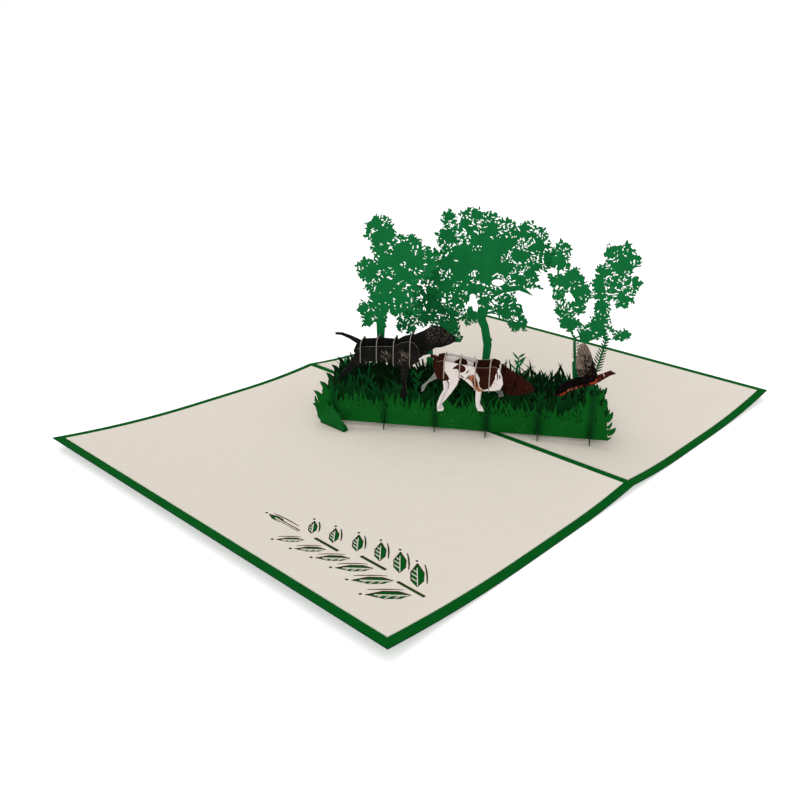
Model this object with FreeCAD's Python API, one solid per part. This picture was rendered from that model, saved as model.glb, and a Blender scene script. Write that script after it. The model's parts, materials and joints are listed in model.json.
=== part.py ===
"""Pop up card lying open, with a slotted paper scene standing on it.

Millimetres. X runs across the fold, Y along it and Z up. The origin is at the middle of the
opened card, on the table under it. The scene is a lattice of long grass slats and short cross
slats, half-lapped into each other at a turn to the fold, so that it shears flat on closing.
"""
import FreeCAD, Part
import math
import os
import random

os.makedirs("parts", exist_ok=True)

# Card: one folded sheet, with a panel glued inside each half.
HALF_WIDTH = 127.0
CARD_HEIGHT = 178.0
COVER_T = 0.35
LINER_T = 0.3
GLUE_GAP = 0.05
BORDER = 3.5
FOLD_MARGIN = 1.8

# Each half lies flat on a bed and springs up towards the fold and the outer edge.
FOLD_RISE = 2.2
EDGE_RISE = 3.9
BED_START = 38.0
BED_END = 68.0

# Leafy sprig cut through the left panel, in from its outer and its near edge.
SPRIG_FROM_SIDE = 25.0
SPRIG_FROM_END = 10.0
SPRIG_LENGTH = 61.0
SPRIG_PAIRS = 6
LEAF_LENGTH = 13.0
LEAF_WIDTH = 4.4
LEAF_ANGLE = 48.0
STEM_WIDTH = 0.9

# Lattice: square cells, turned from the fold. Its corner is given along and across the slats.
SHEET_T = 0.35
SLOT_CLEARANCE = 0.08
LAP_CLEARANCE = 0.1
LATTICE_TURN = 34.5
CELL = 20.9
CELLS_LONG = 5
START_LONG = -45.5
START_CROSS = -15.3
OVERHANG = 7.5
FOLD_CLEARANCE = 0.4

# Heights above the slats' lower edge.
LAP_HEIGHT = 3.3
LONG_BODY = 8.4
CROSS_BODY = 6.1
LONG_BLADE_LOW = 1.8
LONG_BLADE_HIGH = 6.2
CROSS_BLADE_LOW = 0.8
CROSS_BLADE_HIGH = 3.4
BLADE_PITCH = 2.1
BLADE_PITCH_CROSS = 2.6
BLADE_CLEAR = 1.5
TILE_HEIGHT = 17.3

# Pointed feet of the cross slats, and how far each stands out in front.
FOOT_RUN = 1.6
FOOT_CLEARANCE = 0.1
FOOT_REACH = (1.4, 1.4, 1.4, 4.6, 4.0, 2.7)
FOOT_REACH_BACK = 2.4

# Flaps that glue the lattice's two far corners to the panels.
FLAP_SET = 2.0
FLAP_NEAR = 6.8
FLAP_FAR = 11.0
FLAP_BODY = 8.0
FLAP_FOOT = 5.0
FLAP_CLEARANCE = 0.3

# Slatted figures: three panels across curved ribs that stand a little proud of them.
RIB_PROUD = 0.6
RIB_SQUARENESS = 5.0
RIB_POINTS = 18

UP = FreeCAD.Vector(0, 0, 1)
TURN = math.radians(LATTICE_TURN)
LONG = FreeCAD.Vector(math.sin(TURN), -math.cos(TURN), 0)
CROSS = FreeCAD.Vector(math.cos(TURN), math.sin(TURN), 0)
SLOT_HALF = SHEET_T / 2 + SLOT_CLEARANCE
FACE_STEP = SHEET_T + GLUE_GAP


def bend_radius(run, rise):
    """Radius of an arc that leaves the table level and gains a rise over a run."""
    return (run * run + rise * rise) / (2 * rise)


FOLD_RADIUS = bend_radius(BED_START, FOLD_RISE)
EDGE_RADIUS = bend_radius(HALF_WIDTH - BED_END, EDGE_RISE)


def layer_height(x, offset):
    """Height of the surface that lies an offset above the card's underside."""
    run = abs(x)
    if run < BED_START:
        reach = BED_START - run
        radius = FOLD_RADIUS
    elif run > BED_END:
        reach = run - BED_END
        radius = EDGE_RADIUS
    else:
        return offset
    return radius - math.sqrt((radius - offset) ** 2 - reach * reach)


PANEL_UNDER = COVER_T + GLUE_GAP
PANEL_TOP = PANEL_UNDER + LINER_T
SLAT_BOTTOM = layer_height(0, PANEL_TOP) + FOLD_CLEARANCE


def layer_edges(x_from, x_to, offset):
    """Arcs and lines along one surface of the card's section, from one x to another."""
    stops = [x_from] + [s for s in (BED_START, BED_END) if x_from < s < x_to] + [x_to]
    edges = []
    for left, right in zip(stops[:-1], stops[1:]):
        ends = [FreeCAD.Vector(x, 0, layer_height(x, offset)) for x in (left, right)]
        middle = (left + right) / 2
        if BED_START <= middle <= BED_END:
            edges.append(Part.LineSegment(ends[0], ends[1]).toShape())
        else:
            top = FreeCAD.Vector(middle, 0, layer_height(middle, offset))
            edges.append(Part.Arc(ends[0], top, ends[1]).toShape())
    return edges


def layer(x_from, x_to, under, top, length):
    """Bent sheet between two surfaces of the section, centred along the fold."""
    lower = layer_edges(x_from, x_to, under)
    upper = layer_edges(x_from, x_to, top)
    ends = []
    for x in (x_from, x_to):
        foot = FreeCAD.Vector(x, 0, layer_height(x, under))
        head = FreeCAD.Vector(x, 0, layer_height(x, top))
        ends.append(Part.LineSegment(foot, head).toShape())
    outline = Part.Wire(Part.__sortEdges__(lower + upper + ends))
    sheet = Part.Face(outline).extrude(FreeCAD.Vector(0, length, 0))
    sheet.translate(FreeCAD.Vector(0, -length / 2, 0))
    return sheet


def other_half(solid):
    """Mirror image across the fold."""
    return solid.mirror(FreeCAD.Vector(0, 0, 0), FreeCAD.Vector(1, 0, 0))


def leaf(x, y, angle, length, width):
    """Flat leaf with straight-cut sides, from its foot along an angle in degrees."""
    way = FreeCAD.Vector(math.cos(math.radians(angle)), math.sin(math.radians(angle)), 0)
    side = UP.cross(way) * (width / 2)
    foot = FreeCAD.Vector(x, y, 0)
    half = [(0, 0), (0.25, 0.85), (0.6, 0.92), (1, 0)]
    near = [foot + way * (length * s) + side * t for s, t in half]
    far = [foot + way * (length * s) - side * t for s, t in half[-2:0:-1]]
    return Part.Face(Part.makePolygon(near + far + near[:1]))


def sprig():
    """Leaf and stem holes of the design, as flat faces around its stem."""
    x = -HALF_WIDTH + SPRIG_FROM_SIDE
    y = -CARD_HEIGHT / 2 + SPRIG_FROM_END
    step = SPRIG_LENGTH / (SPRIG_PAIRS + 1)
    holes = []
    for k in range(SPRIG_PAIRS + 1):
        level = y + k * step
        sway = 2.2 * math.sin(k * 0.9)
        if k % 2 == 0:
            stem = Part.makePlane(STEM_WIDTH, step * 1.2,
                                  FreeCAD.Vector(x + sway - STEM_WIDTH / 2, level, 0))
            holes.append(stem)
        size = 1.0 - 0.42 * k / SPRIG_PAIRS
        if k < SPRIG_PAIRS:
            for side in (-1, 1):
                foot_x = x + sway + side * (STEM_WIDTH + 1.3)
                foot_y = level + step * (0.45 + 0.1 * side)
                turn = 90 - side * LEAF_ANGLE
                holes.append(leaf(foot_x, foot_y, turn, LEAF_LENGTH * size, LEAF_WIDTH * size))
        else:
            holes.append(leaf(x + sway, level + step * 0.85, 90,
                              LEAF_LENGTH * size, LEAF_WIDTH * size))
    return holes


def polygon(points):
    """Flat face through (along, up) points, turned to face forwards whichever way they run."""
    corners = [FreeCAD.Vector(p[0], p[1], 0) for p in points]
    if sum(p.x * q.y - q.x * p.y for p, q in zip(corners, corners[1:] + corners[:1])) < 0:
        corners.reverse()
    return Part.Face(Part.makePolygon(corners + corners[:1]))


def box(x_from, x_to, z_from, z_to):
    """Flat rectangular face."""
    return polygon([(x_from, z_from), (x_to, z_from), (x_to, z_to), (x_from, z_to)])


def joined(faces):
    """One flat shape out of faces that overlap."""
    if len(faces) == 1:
        return faces[0]
    return faces[0].multiFuse(faces[1:]).removeSplitter()


def upright(outline, along, middle):
    """Standing sheet cut to an outline, with its mid-plane through a point of the table."""
    normal = along.cross(UP)
    start = middle - normal * (SHEET_T / 2)
    turn = FreeCAD.Matrix(along.x, 0, normal.x, start.x,
                          along.y, 0, normal.y, start.y,
                          0, 1, 0, 0,
                          0, 0, 0, 1)
    pieces = [face.extrude(FreeCAD.Vector(0, 0, SHEET_T)) for face in outline.Faces]
    solid = pieces[0].multiFuse(pieces[1:]).Solids[0] if len(pieces) > 1 else pieces[0]
    solid.Placement = FreeCAD.Placement(turn)
    return solid


def crossing(k):
    """Place of a cross slat along the long slats."""
    return START_LONG + k * CELL


def row(k):
    """Place of a long slat across the lattice, in half cells from the front."""
    return START_CROSS + k * CELL / 2


ROWS = 5
CROSSINGS = [crossing(k) for k in range(CELLS_LONG + 1)]
ROW_PLACES = [row(k) for k in range(ROWS)]


def from_crossing(k, points):
    """Points given from a crossing and the slats' lower edge, moved to their place."""
    return [(p[0] + crossing(k), p[1] + SLAT_BOTTOM) + tuple(p[2:]) for p in points]


def grass_edge(start, end, level, low, high, pitch, seed):
    """Blades from start to end: neighbours share a valley and lean too little to cross."""
    chance = random.Random(seed)
    count = max(2, round((end - start) / pitch))
    step = (end - start) / count
    points = [(start, level)]
    for k in range(count):
        height = low + (high - low) * chance.random() ** 1.5
        lean = chance.uniform(-0.42, 0.42) * step * height / high
        points.append((start + (k + 0.5) * step + lean, level + height))
        if k < count - 1:
            points.append((start + (k + 1) * step, level + chance.uniform(-0.5, 0.5)))
    points.append((end, level))
    return points


def blade(foot, tip, height, half):
    """Single tall blade, rooted in a long slat's body."""
    return [(foot - half, LONG_BODY - 1), (foot + half, LONG_BODY - 1), (tip, height)]


def ribbon(points):
    """Band through (along, up, half width) points, for trunks and branches."""
    left = []
    right = []
    for k, (x, z, half) in enumerate(points):
        ahead = points[min(k + 1, len(points) - 1)]
        behind = points[max(k - 1, 0)]
        run = (ahead[0] - behind[0], ahead[1] - behind[1])
        size = math.hypot(run[0], run[1])
        nx = -run[1] / size * half
        nz = run[0] / size * half
        left.append((x + nx, z + nz))
        right.append((x - nx, z - nz))
    return polygon(left + right[::-1])


def leaf_mass(x, z, radius, chance):
    """Round of leaves with a toothed rim."""
    teeth = max(5, round(radius * 0.9) + 3)
    first = chance.uniform(0, 2 * math.pi)
    points = []
    for k in range(2 * teeth):
        reach = radius * (1.1 if k % 2 else 0.86) * chance.uniform(0.94, 1.07)
        angle = first + math.pi * k / teeth
        points.append((x + reach * math.cos(angle), z + reach * math.sin(angle)))
    return polygon(points)


def crown(masses, seed, twig=0.5):
    """Leaf masses, each tied by a twig to the nearest one before it."""
    chance = random.Random(seed)
    faces = []
    for k, (x, z, radius) in enumerate(masses):
        faces.append(leaf_mass(x, z, radius, chance))
        if k:
            near = min(masses[:k], key=lambda m: math.hypot(m[0] - x, m[1] - z))
            faces.append(ribbon([(near[0], near[1], twig), (x, z, twig)]))
    return faces


def tiled(outline):
    """Outline cut along a grid into faces with short rims, for one solid all the same."""
    bounds = outline.BoundBox
    columns = [crossing(k) + CELL / 2 for k in range(-1, CELLS_LONG + 1)]
    columns = [bounds.XMin - 1] + columns + [bounds.XMax + 1]
    rows = [bounds.YMin - 1, SLAT_BOTTOM + LONG_BODY + LONG_BLADE_HIGH + 0.7]
    while rows[-1] < bounds.YMax:
        rows.append(rows[-1] + TILE_HEIGHT)
    faces = []
    for left, right in zip(columns[:-1], columns[1:]):
        for low, high in zip(rows[:-1], rows[1:]):
            faces += outline.common(box(left, right, low, high)).Faces
    return Part.makeCompound(faces)


def long_slat(k, seed, start, end, extras, high=LONG_BLADE_HIGH):
    """Long slat in a row: grass along its top, slots from below, and anything grown on it."""
    lower = SLAT_BOTTOM
    edge = grass_edge(start, end, lower + LONG_BODY, LONG_BLADE_LOW, high, BLADE_PITCH, seed)
    outline = joined([polygon([(start, lower)] + edge + [(end, lower)])] + extras)
    slots = [box(a - SLOT_HALF, a + SLOT_HALF, lower - 1, lower + LAP_HEIGHT)
             for a in CROSSINGS if start < a < end]
    return upright(tiled(outline.cut(slots)), LONG, CROSS * row(k))


def foot_height(a, b):
    """Height of a foot's tip over the panel at a place of the lattice."""
    spot = LONG * a + CROSS * b
    return layer_height(spot.x, PANEL_TOP) + FOOT_CLEARANCE


def cross_slat(k, front, back):
    """Cross slat: low grass between the rows, slots from above and a pointed foot at each end.

    An end given as None stops at the flap instead, with no foot.
    """
    lower = SLAT_BOTTOM
    top = lower + CROSS_BODY
    a = crossing(k)
    first = ROW_PLACES[0]
    last = ROW_PLACES[-1]
    points = []
    if front is None:
        points += [(CROSS_FRONT_STOP, lower), (CROSS_FRONT_STOP, top)]
    else:
        tip = first - front
        points += [(first + FOOT_RUN, lower), (tip, foot_height(a, tip)),
                   (tip + 0.35, lower + CROSS_BODY * 0.55), (first - 0.9, top)]
    for b, c in zip(ROW_PLACES[:-1], ROW_PLACES[1:]):
        points += grass_edge(b + BLADE_CLEAR, c - BLADE_CLEAR, top, CROSS_BLADE_LOW,
                             CROSS_BLADE_HIGH, BLADE_PITCH_CROSS, 90 + 7 * k + round(b))
    if back is None:
        points += [(CROSS_BACK_STOP, top), (CROSS_BACK_STOP, lower)]
    else:
        tip = last + back
        points += [(last + 0.9, top), (tip - 0.35, lower + CROSS_BODY * 0.55),
                   (tip, foot_height(a, tip)), (last - FOOT_RUN, lower)]
    slots = [box(b - SLOT_HALF, b + SLOT_HALF, lower + LAP_HEIGHT - LAP_CLEARANCE, top + 1)
             for b in ROW_PLACES]
    return upright(polygon(points).cut(slots), CROSS, LONG * a)


def span(outline, x):
    """Lower and upper height of an outline's topmost stretch at x."""
    hits = []
    for p, q in zip(outline, outline[1:] + outline[:1]):
        if (p[0] <= x) != (q[0] <= x):
            hits.append(p[1] + (q[1] - p[1]) * (x - p[0]) / (q[0] - p[0]))
    hits.sort()
    return hits[-2], hits[-1]


def slotted_panel(outline, extras, places, b):
    """Upright panel of a figure, slotted from above to half its height at each rib."""
    slots = []
    for a in places:
        low, high = span(outline, a)
        slots.append(box(a - SLOT_HALF, a + SLOT_HALF,
                         (low + high) / 2 - LAP_CLEARANCE / 2, high + 2))
    face = joined([polygon(outline)] + [polygon(e) for e in extras])
    return upright(face.cut(slots), LONG, CROSS * b)


def rib(a, panels):
    """Rounded rib across three panels, slotted from below at each."""
    (near, _), (middle, outline), (far, _) = panels
    low, high = span(outline, a)
    centre = (low + high) / 2
    tall = (high - low) / 2 + RIB_PROUD
    wide = (far - near) / 2 + SHEET_T / 2 + RIB_PROUD
    power = 2 / RIB_SQUARENESS
    points = []
    for k in range(RIB_POINTS):
        angle = 2 * math.pi * (k + 0.5) / RIB_POINTS
        c = math.cos(angle)
        s = math.sin(angle)
        points.append((middle + wide * math.copysign(abs(c) ** power, c),
                       centre + tall * math.copysign(abs(s) ** power, s)))
    slots = []
    for b, shape in panels:
        low, high = span(shape, a)
        slots.append(box(b - SLOT_HALF, b + SLOT_HALF, centre - tall - 3,
                         (low + high) / 2 + LAP_CLEARANCE / 2))
    return upright(polygon(points).cut(slots), CROSS, LONG * a)


def slatted_figure(name, places, near, middle, far, start, limit):
    """Three panels from a start plane to a limit, and the ribs that carry them.

    Each panel is given as its body outline and a list of outlines that grow from it.
    """
    far_b = limit - SHEET_T / 2 - FLAP_CLEARANCE - RIB_PROUD
    levels = [start, (start + far_b) / 2, far_b]
    panels = [near, middle, far]
    for level, (outline, extras), label in zip(levels, panels, ("near", "middle", "far")):
        save(f"{name}_{label}_panel", slotted_panel(outline, extras, places, level))
    for k, a in enumerate(places):
        save(f"{name}_rib_{k + 1}", rib(a, [(b, p[0]) for b, p in zip(levels, panels)]))


def save(name, shape):
    """Write one sub-part, and say how many solids it holds."""
    if shape.ShapeType == "Compound" and len(shape.Solids) == 1:
        shape = shape.Solids[0]
    shape.exportStep(f"parts/{name}.step")
    print(name, len(shape.Solids), "solid", "%.1f" % shape.Volume, "mm3", shape.isValid())


# Cover and its panels. The cover's two halves meet at the fold as one sheet.
right_cover = layer(0, HALF_WIDTH, 0, COVER_T, CARD_HEIGHT)
save("cover", right_cover.fuse(other_half(right_cover)).removeSplitter())
panel = layer(FOLD_MARGIN, HALF_WIDTH - BORDER, PANEL_UNDER, PANEL_TOP,
              CARD_HEIGHT - 2 * BORDER)
save("liner_right", panel)
cutters = [hole.extrude(UP * (EDGE_RISE + 4)) for hole in sprig()]
save("liner_left", other_half(panel).cut(cutters))

# Flaps: a corner of the lattice stands just inside each, and their feet lie on the panels.
left_corner = LONG * crossing(0) + CROSS * row(0)
right_corner = LONG * crossing(CELLS_LONG) + CROSS * row(ROWS - 1)
left_flap = left_corner.x - FLAP_SET
right_flap = right_corner.x + FLAP_SET
FACE_LEFT = left_flap + SHEET_T / 2 + FLAP_CLEARANCE
FACE_RIGHT = right_flap - SHEET_T / 2 - FLAP_CLEARANCE
LONG_LEFT_STOP = (FACE_LEFT - CROSS.x * (row(0) - SHEET_T / 2)) / LONG.x
LONG_RIGHT_STOP = (FACE_RIGHT - CROSS.x * (row(ROWS - 1) + SHEET_T / 2)) / LONG.x
CROSS_FRONT_STOP = (FACE_LEFT - LONG.x * (crossing(0) - SHEET_T / 2)) / CROSS.x
CROSS_BACK_STOP = (FACE_RIGHT - LONG.x * (crossing(CELLS_LONG) + SHEET_T / 2)) / CROSS.x


def flap(x, side, corner, seed):
    """Upright grass-topped sheet with its foot folded inwards onto the panel."""
    inner = x - side * FLAP_FOOT
    under = max(layer_height(x + side * SHEET_T / 2, PANEL_TOP),
                layer_height(inner, PANEL_TOP)) + GLUE_GAP
    y_from = corner.y - (FLAP_NEAR if side < 0 else FLAP_FAR)
    y_to = corner.y + (FLAP_FAR if side < 0 else FLAP_NEAR)
    top = grass_edge(y_from, y_to, under + FLAP_BODY, LONG_BLADE_LOW, LONG_BLADE_HIGH,
                     BLADE_PITCH, seed)
    face = polygon([(y_from, under)] + top + [(y_to, under)])
    wall = upright(face, FreeCAD.Vector(0, 1, 0), FreeCAD.Vector(x, 0, 0))
    foot = Part.makeBox(FLAP_FOOT, y_to - y_from, SHEET_T,
                        FreeCAD.Vector(min(x, inner), y_from, under))
    return wall.fuse(foot).removeSplitter()


save("anchor_flap_left", flap(left_flap, -1, left_corner, 21))
save("anchor_flap_right", flap(right_flap, 1, right_corner, 22))

# Long slats, front to back. Their free ends run past the last crossings.
ends = (crossing(0) - OVERHANG, crossing(CELLS_LONG) + OVERHANG)
low_tuft = [blade(-2.0, -2.6, 14.5, 0.9), blade(1.6, 1.9, 15.5, 0.9), blade(3.9, 3.9, 18.4, 0.9),
            blade(5.9, 6.8, 14.0, 0.8),
            [(5.0, 5.4), (5.0, 7.6), (9.7, 7.4)], [(5.0, 2.4), (5.0, 4.6), (8.9, 3.6)]]
save("grass_slat_front",
     long_slat(0, 31, LONG_LEFT_STOP, ends[1],
               [polygon(from_crossing(CELLS_LONG, b)) for b in low_tuft]))

perch_tuft = [blade(-12.6, -13.4, 17.0, 1.2), blade(-9.6, -9.0, 19.4, 1.3),
              blade(-6.2, -6.6, 20.9, 1.4), blade(-3.0, -2.2, 21.2, 1.4),
              blade(0.4, 0.6, 21.0, 1.3), blade(3.0, 3.6, 17.5, 1.1)]
save("grass_slat_second",
     long_slat(1, 32, ends[0], ends[1],
               [polygon(from_crossing(CELLS_LONG, b)) for b in perch_tuft]))

# Left tree and right tree, on the third slat.
left_masses = [
    (0.4, 62.8, 8.2), (-4.8, 68.7, 4.5), (-5.6, 74.7, 6.1), (3, 69.8, 3.7), (7, 70.2, 3.4),
    (11.2, 63.5, 6.5), (-10.9, 58.6, 4.6), (-7.1, 51.6, 4.6), (-1.2, 52, 6.2),
    (-5.4, 45.2, 4.6), (1.1, 44.5, 4.6), (-10.9, 41.5, 3.8), (-10.9, 36.8, 2.5)]
left_trunk = [(-6.0, 4, 1.8), (-5.4, 18, 1.5), (-5.4, 30.6, 1.6), (-5.4, 41, 2.1),
              (-3.0, 52, 1.6), (0.4, 62, 1.0)]
right_masses = [
    (-1.3, 38.6, 4), (-4.3, 37, 3.6), (-8.9, 40, 3), (-12.2, 42.4, 3.2), (-14.6, 46.9, 2.8),
    (-8.5, 48.5, 3.2), (-7.3, 53.5, 3.6), (-9.3, 56.8, 3.6), (-11.5, 60.8, 3.5),
    (-16.9, 66.8, 3.5), (-16.8, 71, 3.5), (1.2, 44, 3.6), (1.2, 49.1, 2.8), (0, 55.4, 3.3),
    (-1.1, 59, 2.4), (-0.3, 62.8, 2.3), (3, 64.8, 3.9), (6, 60.8, 3.9), (9.3, 53.4, 3.9),
    (12.2, 59.4, 2.9), (7.8, 66.3, 3.9), (3.1, 71, 3.1), (7.7, 71.8, 3.1), (11.6, 68.5, 2.7),
    (8.7, 37.5, 2), (11.6, 38.1, 2)]
right_stems = [
    [(-4.2, 4, 1.5), (-6.6, 18.9, 1.2), (-8.6, 35.5, 1.2), (-12.2, 42.4, 0.9)],
    [(-2.6, 4, 1.3), (2.2, 24.4, 0.9), (4.3, 35.5, 0.9), (1.2, 44, 0.8), (6, 60.8, 0.6)]]
save("tree_slat_third",
     long_slat(2, 33, ends[0], ends[1],
               crown(from_crossing(1, left_masses), 41)
               + crown(from_crossing(CELLS_LONG, right_masses), 42, 0.4)
               + [ribbon(from_crossing(1, left_trunk))]
               + [ribbon(from_crossing(CELLS_LONG, s)) for s in right_stems]))

# Tall middle tree, on the fourth slat.
tall_masses = [
    (-4.4, 69, 7.4), (-4.9, 78.2, 4.5), (2, 76.2, 4.2), (-11.9, 79.2, 4.9), (-13.9, 70.8, 7),
    (-21.6, 71.2, 4.3), (-21.3, 79.2, 2.9), (6.4, 67.8, 7.3), (10.8, 74.8, 4.8),
    (16.4, 74.7, 2.8), (16.5, 65.8, 6.5), (12, 57.2, 4.9), (2.4, 59.4, 6.2), (-10.2, 59, 7.5),
    (-20, 61.8, 7.1), (-25.4, 54.9, 7.1), (-22.9, 53.8, 7.1), (-13.1, 51.8, 6.3),
    (-17.9, 43.5, 4.2), (-18.9, 33.2, 3.4), (-11.2, 38.6, 3.8), (4.2, 42.4, 4.2),
    (9.7, 37.2, 3.8)]
tall_trunk = [(-3.2, 4, 2.0), (-3, 19.1, 1.6), (-2.6, 26.4, 1.8), (-4.2, 34.2, 1.7),
              (-6.1, 38.1, 2.1), (-4.4, 47, 2.5), (-4.4, 54.6, 2.3), (-4.4, 69, 1.2)]
tall_branches = [
    [(-5, 43, 1.0), (4.2, 42.4, 0.6)], [(-5.6, 38.4, 1.0), (-11.2, 38.6, 0.6)],
    [(-4.4, 50, 1.0), (7, 54.5, 0.6), (18.8, 52.8, 0.25)],
    [(-4.4, 50, 1.0), (-13.1, 51.8, 0.6)]]
save("tree_slat_fourth",
     long_slat(3, 34, ends[0], ends[1],
               crown(from_crossing(3, tall_masses), 43)
               + [ribbon(from_crossing(3, tall_trunk))]
               + [ribbon(from_crossing(3, b)) for b in tall_branches]))

# Small dark tree and the tallest grass, on the back slat.
back_masses = [
    (-5.2, 36.5, 4), (-12, 40.5, 4), (-11.8, 33.6, 4), (-16.4, 34.8, 3.6), (-16.2, 28.1, 2.2),
    (-20.8, 29.1, 2.2), (-0.4, 34.5, 4.4), (1.1, 29.2, 4), (4.5, 24.8, 1.8), (-7.6, 43, 4.4),
    (-14.3, 44.9, 3.1)]
back_trunk = [(-7.4, 4, 1.8), (-7.5, 9.1, 1.6), (-7.9, 21.9, 1.3), (-5.2, 36.5, 0.9)]
tall_blades = [blade(-41, -42, 17, 1.0), blade(-36.5, -36, 15.5, 1.0),
               blade(-31.5, -31, 17.5, 1.0), blade(-27, -26.2, 14.5, 1.0)]
save("tree_slat_back",
     long_slat(4, 35, ends[0], LONG_RIGHT_STOP,
               crown(from_crossing(2, back_masses), 44)
               + [ribbon(from_crossing(2, back_trunk))]
               + [polygon(from_crossing(CELLS_LONG, b)) for b in tall_blades]))

# Cross slats. The first and the last stop at a flap.
for number in range(CELLS_LONG + 1):
    front_reach = None if number == 0 else FOOT_REACH[number % len(FOOT_REACH)]
    back_reach = None if number == CELLS_LONG else FOOT_REACH_BACK
    save(f"cross_slat_{number + 1}", cross_slat(number, front_reach, back_reach))

# Black dog, from the face of the second slat towards the third.
black_near = from_crossing(0, [
    (5.4, 22.9), (7.6, 27.9), (10.9, 29.2), (22.9, 30), (25.8, 31.8), (28.7, 32.5),
    (31.1, 32.1), (32.8, 30.1), (33.7, 27.1), (32.6, 24.1), (30.1, 21.9), (28.1, 20.6),
    (25.1, 21.8), (20.5, 22.8), (15.9, 23.6), (11.3, 22.4), (6.7, 19.9)])
black_hind = from_crossing(0, [
    (5.4, 22.9), (0.3, 15.9), (-2.8, 11.2), (-4.1, 6.6), (-2.9, 4.3), (-0.7, 6.3), (0.7, 10.1),
    (5.4, 14.9), (8.8, 17.9), (11.3, 21.6), (9, 25)])
black_front = from_crossing(0, [
    (25.1, 23.8), (25.5, 20.8), (26, 17.4), (26.5, 13.1), (25.7, 8.4), (27.4, 6.8),
    (28.7, 9.6), (28.2, 14.1), (28.9, 18.9), (30.1, 23.1)])
black_middle = from_crossing(0, [
    (5.1, 25.4), (6.4, 28.6), (10.2, 31.1), (17.8, 31.9), (24.5, 31.8), (30.3, 34.1),
    (34.4, 36.1), (36.8, 37.8), (39.3, 38.5), (42.2, 38), (44.3, 36.4), (47.2, 34.5),
    (47.7, 32.4), (45.3, 30.9), (42, 29.5), (39.6, 29.1), (37.1, 27.6), (34.7, 24.4),
    (32.2, 22.1), (28.1, 20.1), (24.5, 21.1), (20.5, 21.9), (15.5, 22.8), (10.5, 21.8),
    (7, 21.2)])
black_tail = from_crossing(0, [
    (8.2, 27.6), (3.4, 30.5), (0.1, 31.8), (-2.5, 31.9), (-2.5, 32.9), (0.5, 33),
    (4.3, 31.9), (9.2, 29.9)])
black_ribs = [crossing(0) + a for a in (9.1, 15.8, 22.8, 29.6)]
slatted_figure("black_dog", black_ribs, (black_near, [black_hind, black_front]),
               (black_middle, [black_tail]), (black_near, []),
               row(1) - FACE_STEP, row(2))

# White dog, from the face of the front slat towards the second.
white_near = from_crossing(2, [
    (-0.3, 28.4), (1.7, 29), (5.3, 28.9), (9.3, 28.1), (13.3, 27.8), (15.7, 27.1), (20, 27.4),
    (22.7, 28.1), (24.7, 27.4), (26.1, 24.4), (26.7, 21.1), (25.7, 18.6), (22.5, 17.9),
    (19.3, 17.6), (16.1, 17.8), (13.6, 19.8), (11.5, 21.6), (9.5, 22.9), (6.5, 21.2),
    (3, 20.8), (0.3, 21.6), (-0.9, 24.6)])
white_hind = from_crossing(2, [
    (9.5, 22.9), (8.5, 19.4), (6.2, 15.6), (4.3, 12.9), (2.7, 10.7), (3.6, 8.9), (3.2, 7.7),
    (1, 7.4), (0.7, 10.4), (1.8, 14.1), (3.3, 17.1), (2.8, 20.6), (3.2, 23), (8, 25)])
white_front = from_crossing(2, [
    (16.1, 19.4), (16.1, 13.4), (16.5, 10.8), (17.4, 8.8), (19.8, 8.8), (19.3, 10.2),
    (18, 12.3), (18.6, 19.6)])
white_middle = from_crossing(2, [
    (-1.8, 28.4), (3.1, 29.5), (6.3, 29.9), (9.5, 29), (13.6, 27.9), (16.8, 27.2),
    (20.8, 28.1), (23.6, 28.6), (26, 27.6), (29.8, 25.2), (33.9, 23.1), (37.3, 20.6),
    (39.5, 18.2), (38.8, 16.4), (35.3, 15.4), (31.3, 14.6), (28, 15.1), (26.3, 16.9),
    (22.5, 17.1), (16.1, 16.9), (11.5, 20.6), (6.7, 21.9), (0.7, 20.8), (-2.1, 24.6)])
white_tail = from_crossing(2, [
    (0.8, 27.2), (-3.4, 28.8), (-5.8, 28.1), (-7.4, 26.8), (-7.8, 27.4), (-5.8, 29.1),
    (-3, 29.9), (1.2, 28.8)])
far_hind = from_crossing(2, [
    (1.2, 22.8), (1.4, 19), (-0.8, 17.6), (-3.6, 16.1), (-4.9, 14.8), (-6, 11.9),
    (-7.1, 11.4), (-6.9, 14.1), (-5.3, 15.6), (-3.3, 17.9), (-0.4, 22.6)])
far_front = from_crossing(2, [
    (22.6, 19.4), (24.1, 15.1), (26.6, 14.1), (27.2, 12.3), (25.6, 11.3), (24.7, 12.2),
    (25.4, 13.0), (22.9, 13.9), (20.4, 18.9)])
white_ribs = [crossing(2) + a for a in (3, 9.2, 15.5, 21.2)]
slatted_figure("white_dog", white_ribs, (white_near, [white_hind, white_front]),
               (white_middle, [white_tail]), (white_near, [far_hind, far_front]),
               row(0) - FACE_STEP, row(1))

# Pheasant: body on the second slat's tall tuft, and two wings glued onto it.
pheasant_body = from_crossing(CELLS_LONG, [
    (-15.2, 13.6), (-12.5, 18.9), (-7.1, 21.9), (-2.8, 22.1), (2.6, 24.4), (6.3, 26.2),
    (8.6, 25.1), (6.1, 23.9), (2.9, 21.4), (0.4, 19.6), (-3.7, 18.4), (-7.9, 16.4),
    (-12.5, 13.8)])
raised_wing = from_crossing(CELLS_LONG, [
    (-6.0, 20.6), (-6.3, 22.8), (-7.6, 27), (-7.9, 30.5), (-7.4, 34), (-6.8, 36.5), (-5.2, 37),
    (-3.8, 36), (-2.2, 33.2), (-0.6, 29), (1.3, 24.2), (0.6, 21.6)])
folded_wing = from_crossing(CELLS_LONG, [
    (-15.0, 14.6), (-13.4, 17.6), (-10.6, 20.6), (-7.4, 22.4), (-4.2, 23), (-1.2, 22.6),
    (0.8, 21.6), (-2.4, 20.2), (-6.2, 19.2), (-9.6, 17.4), (-12.4, 15.2)])
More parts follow.
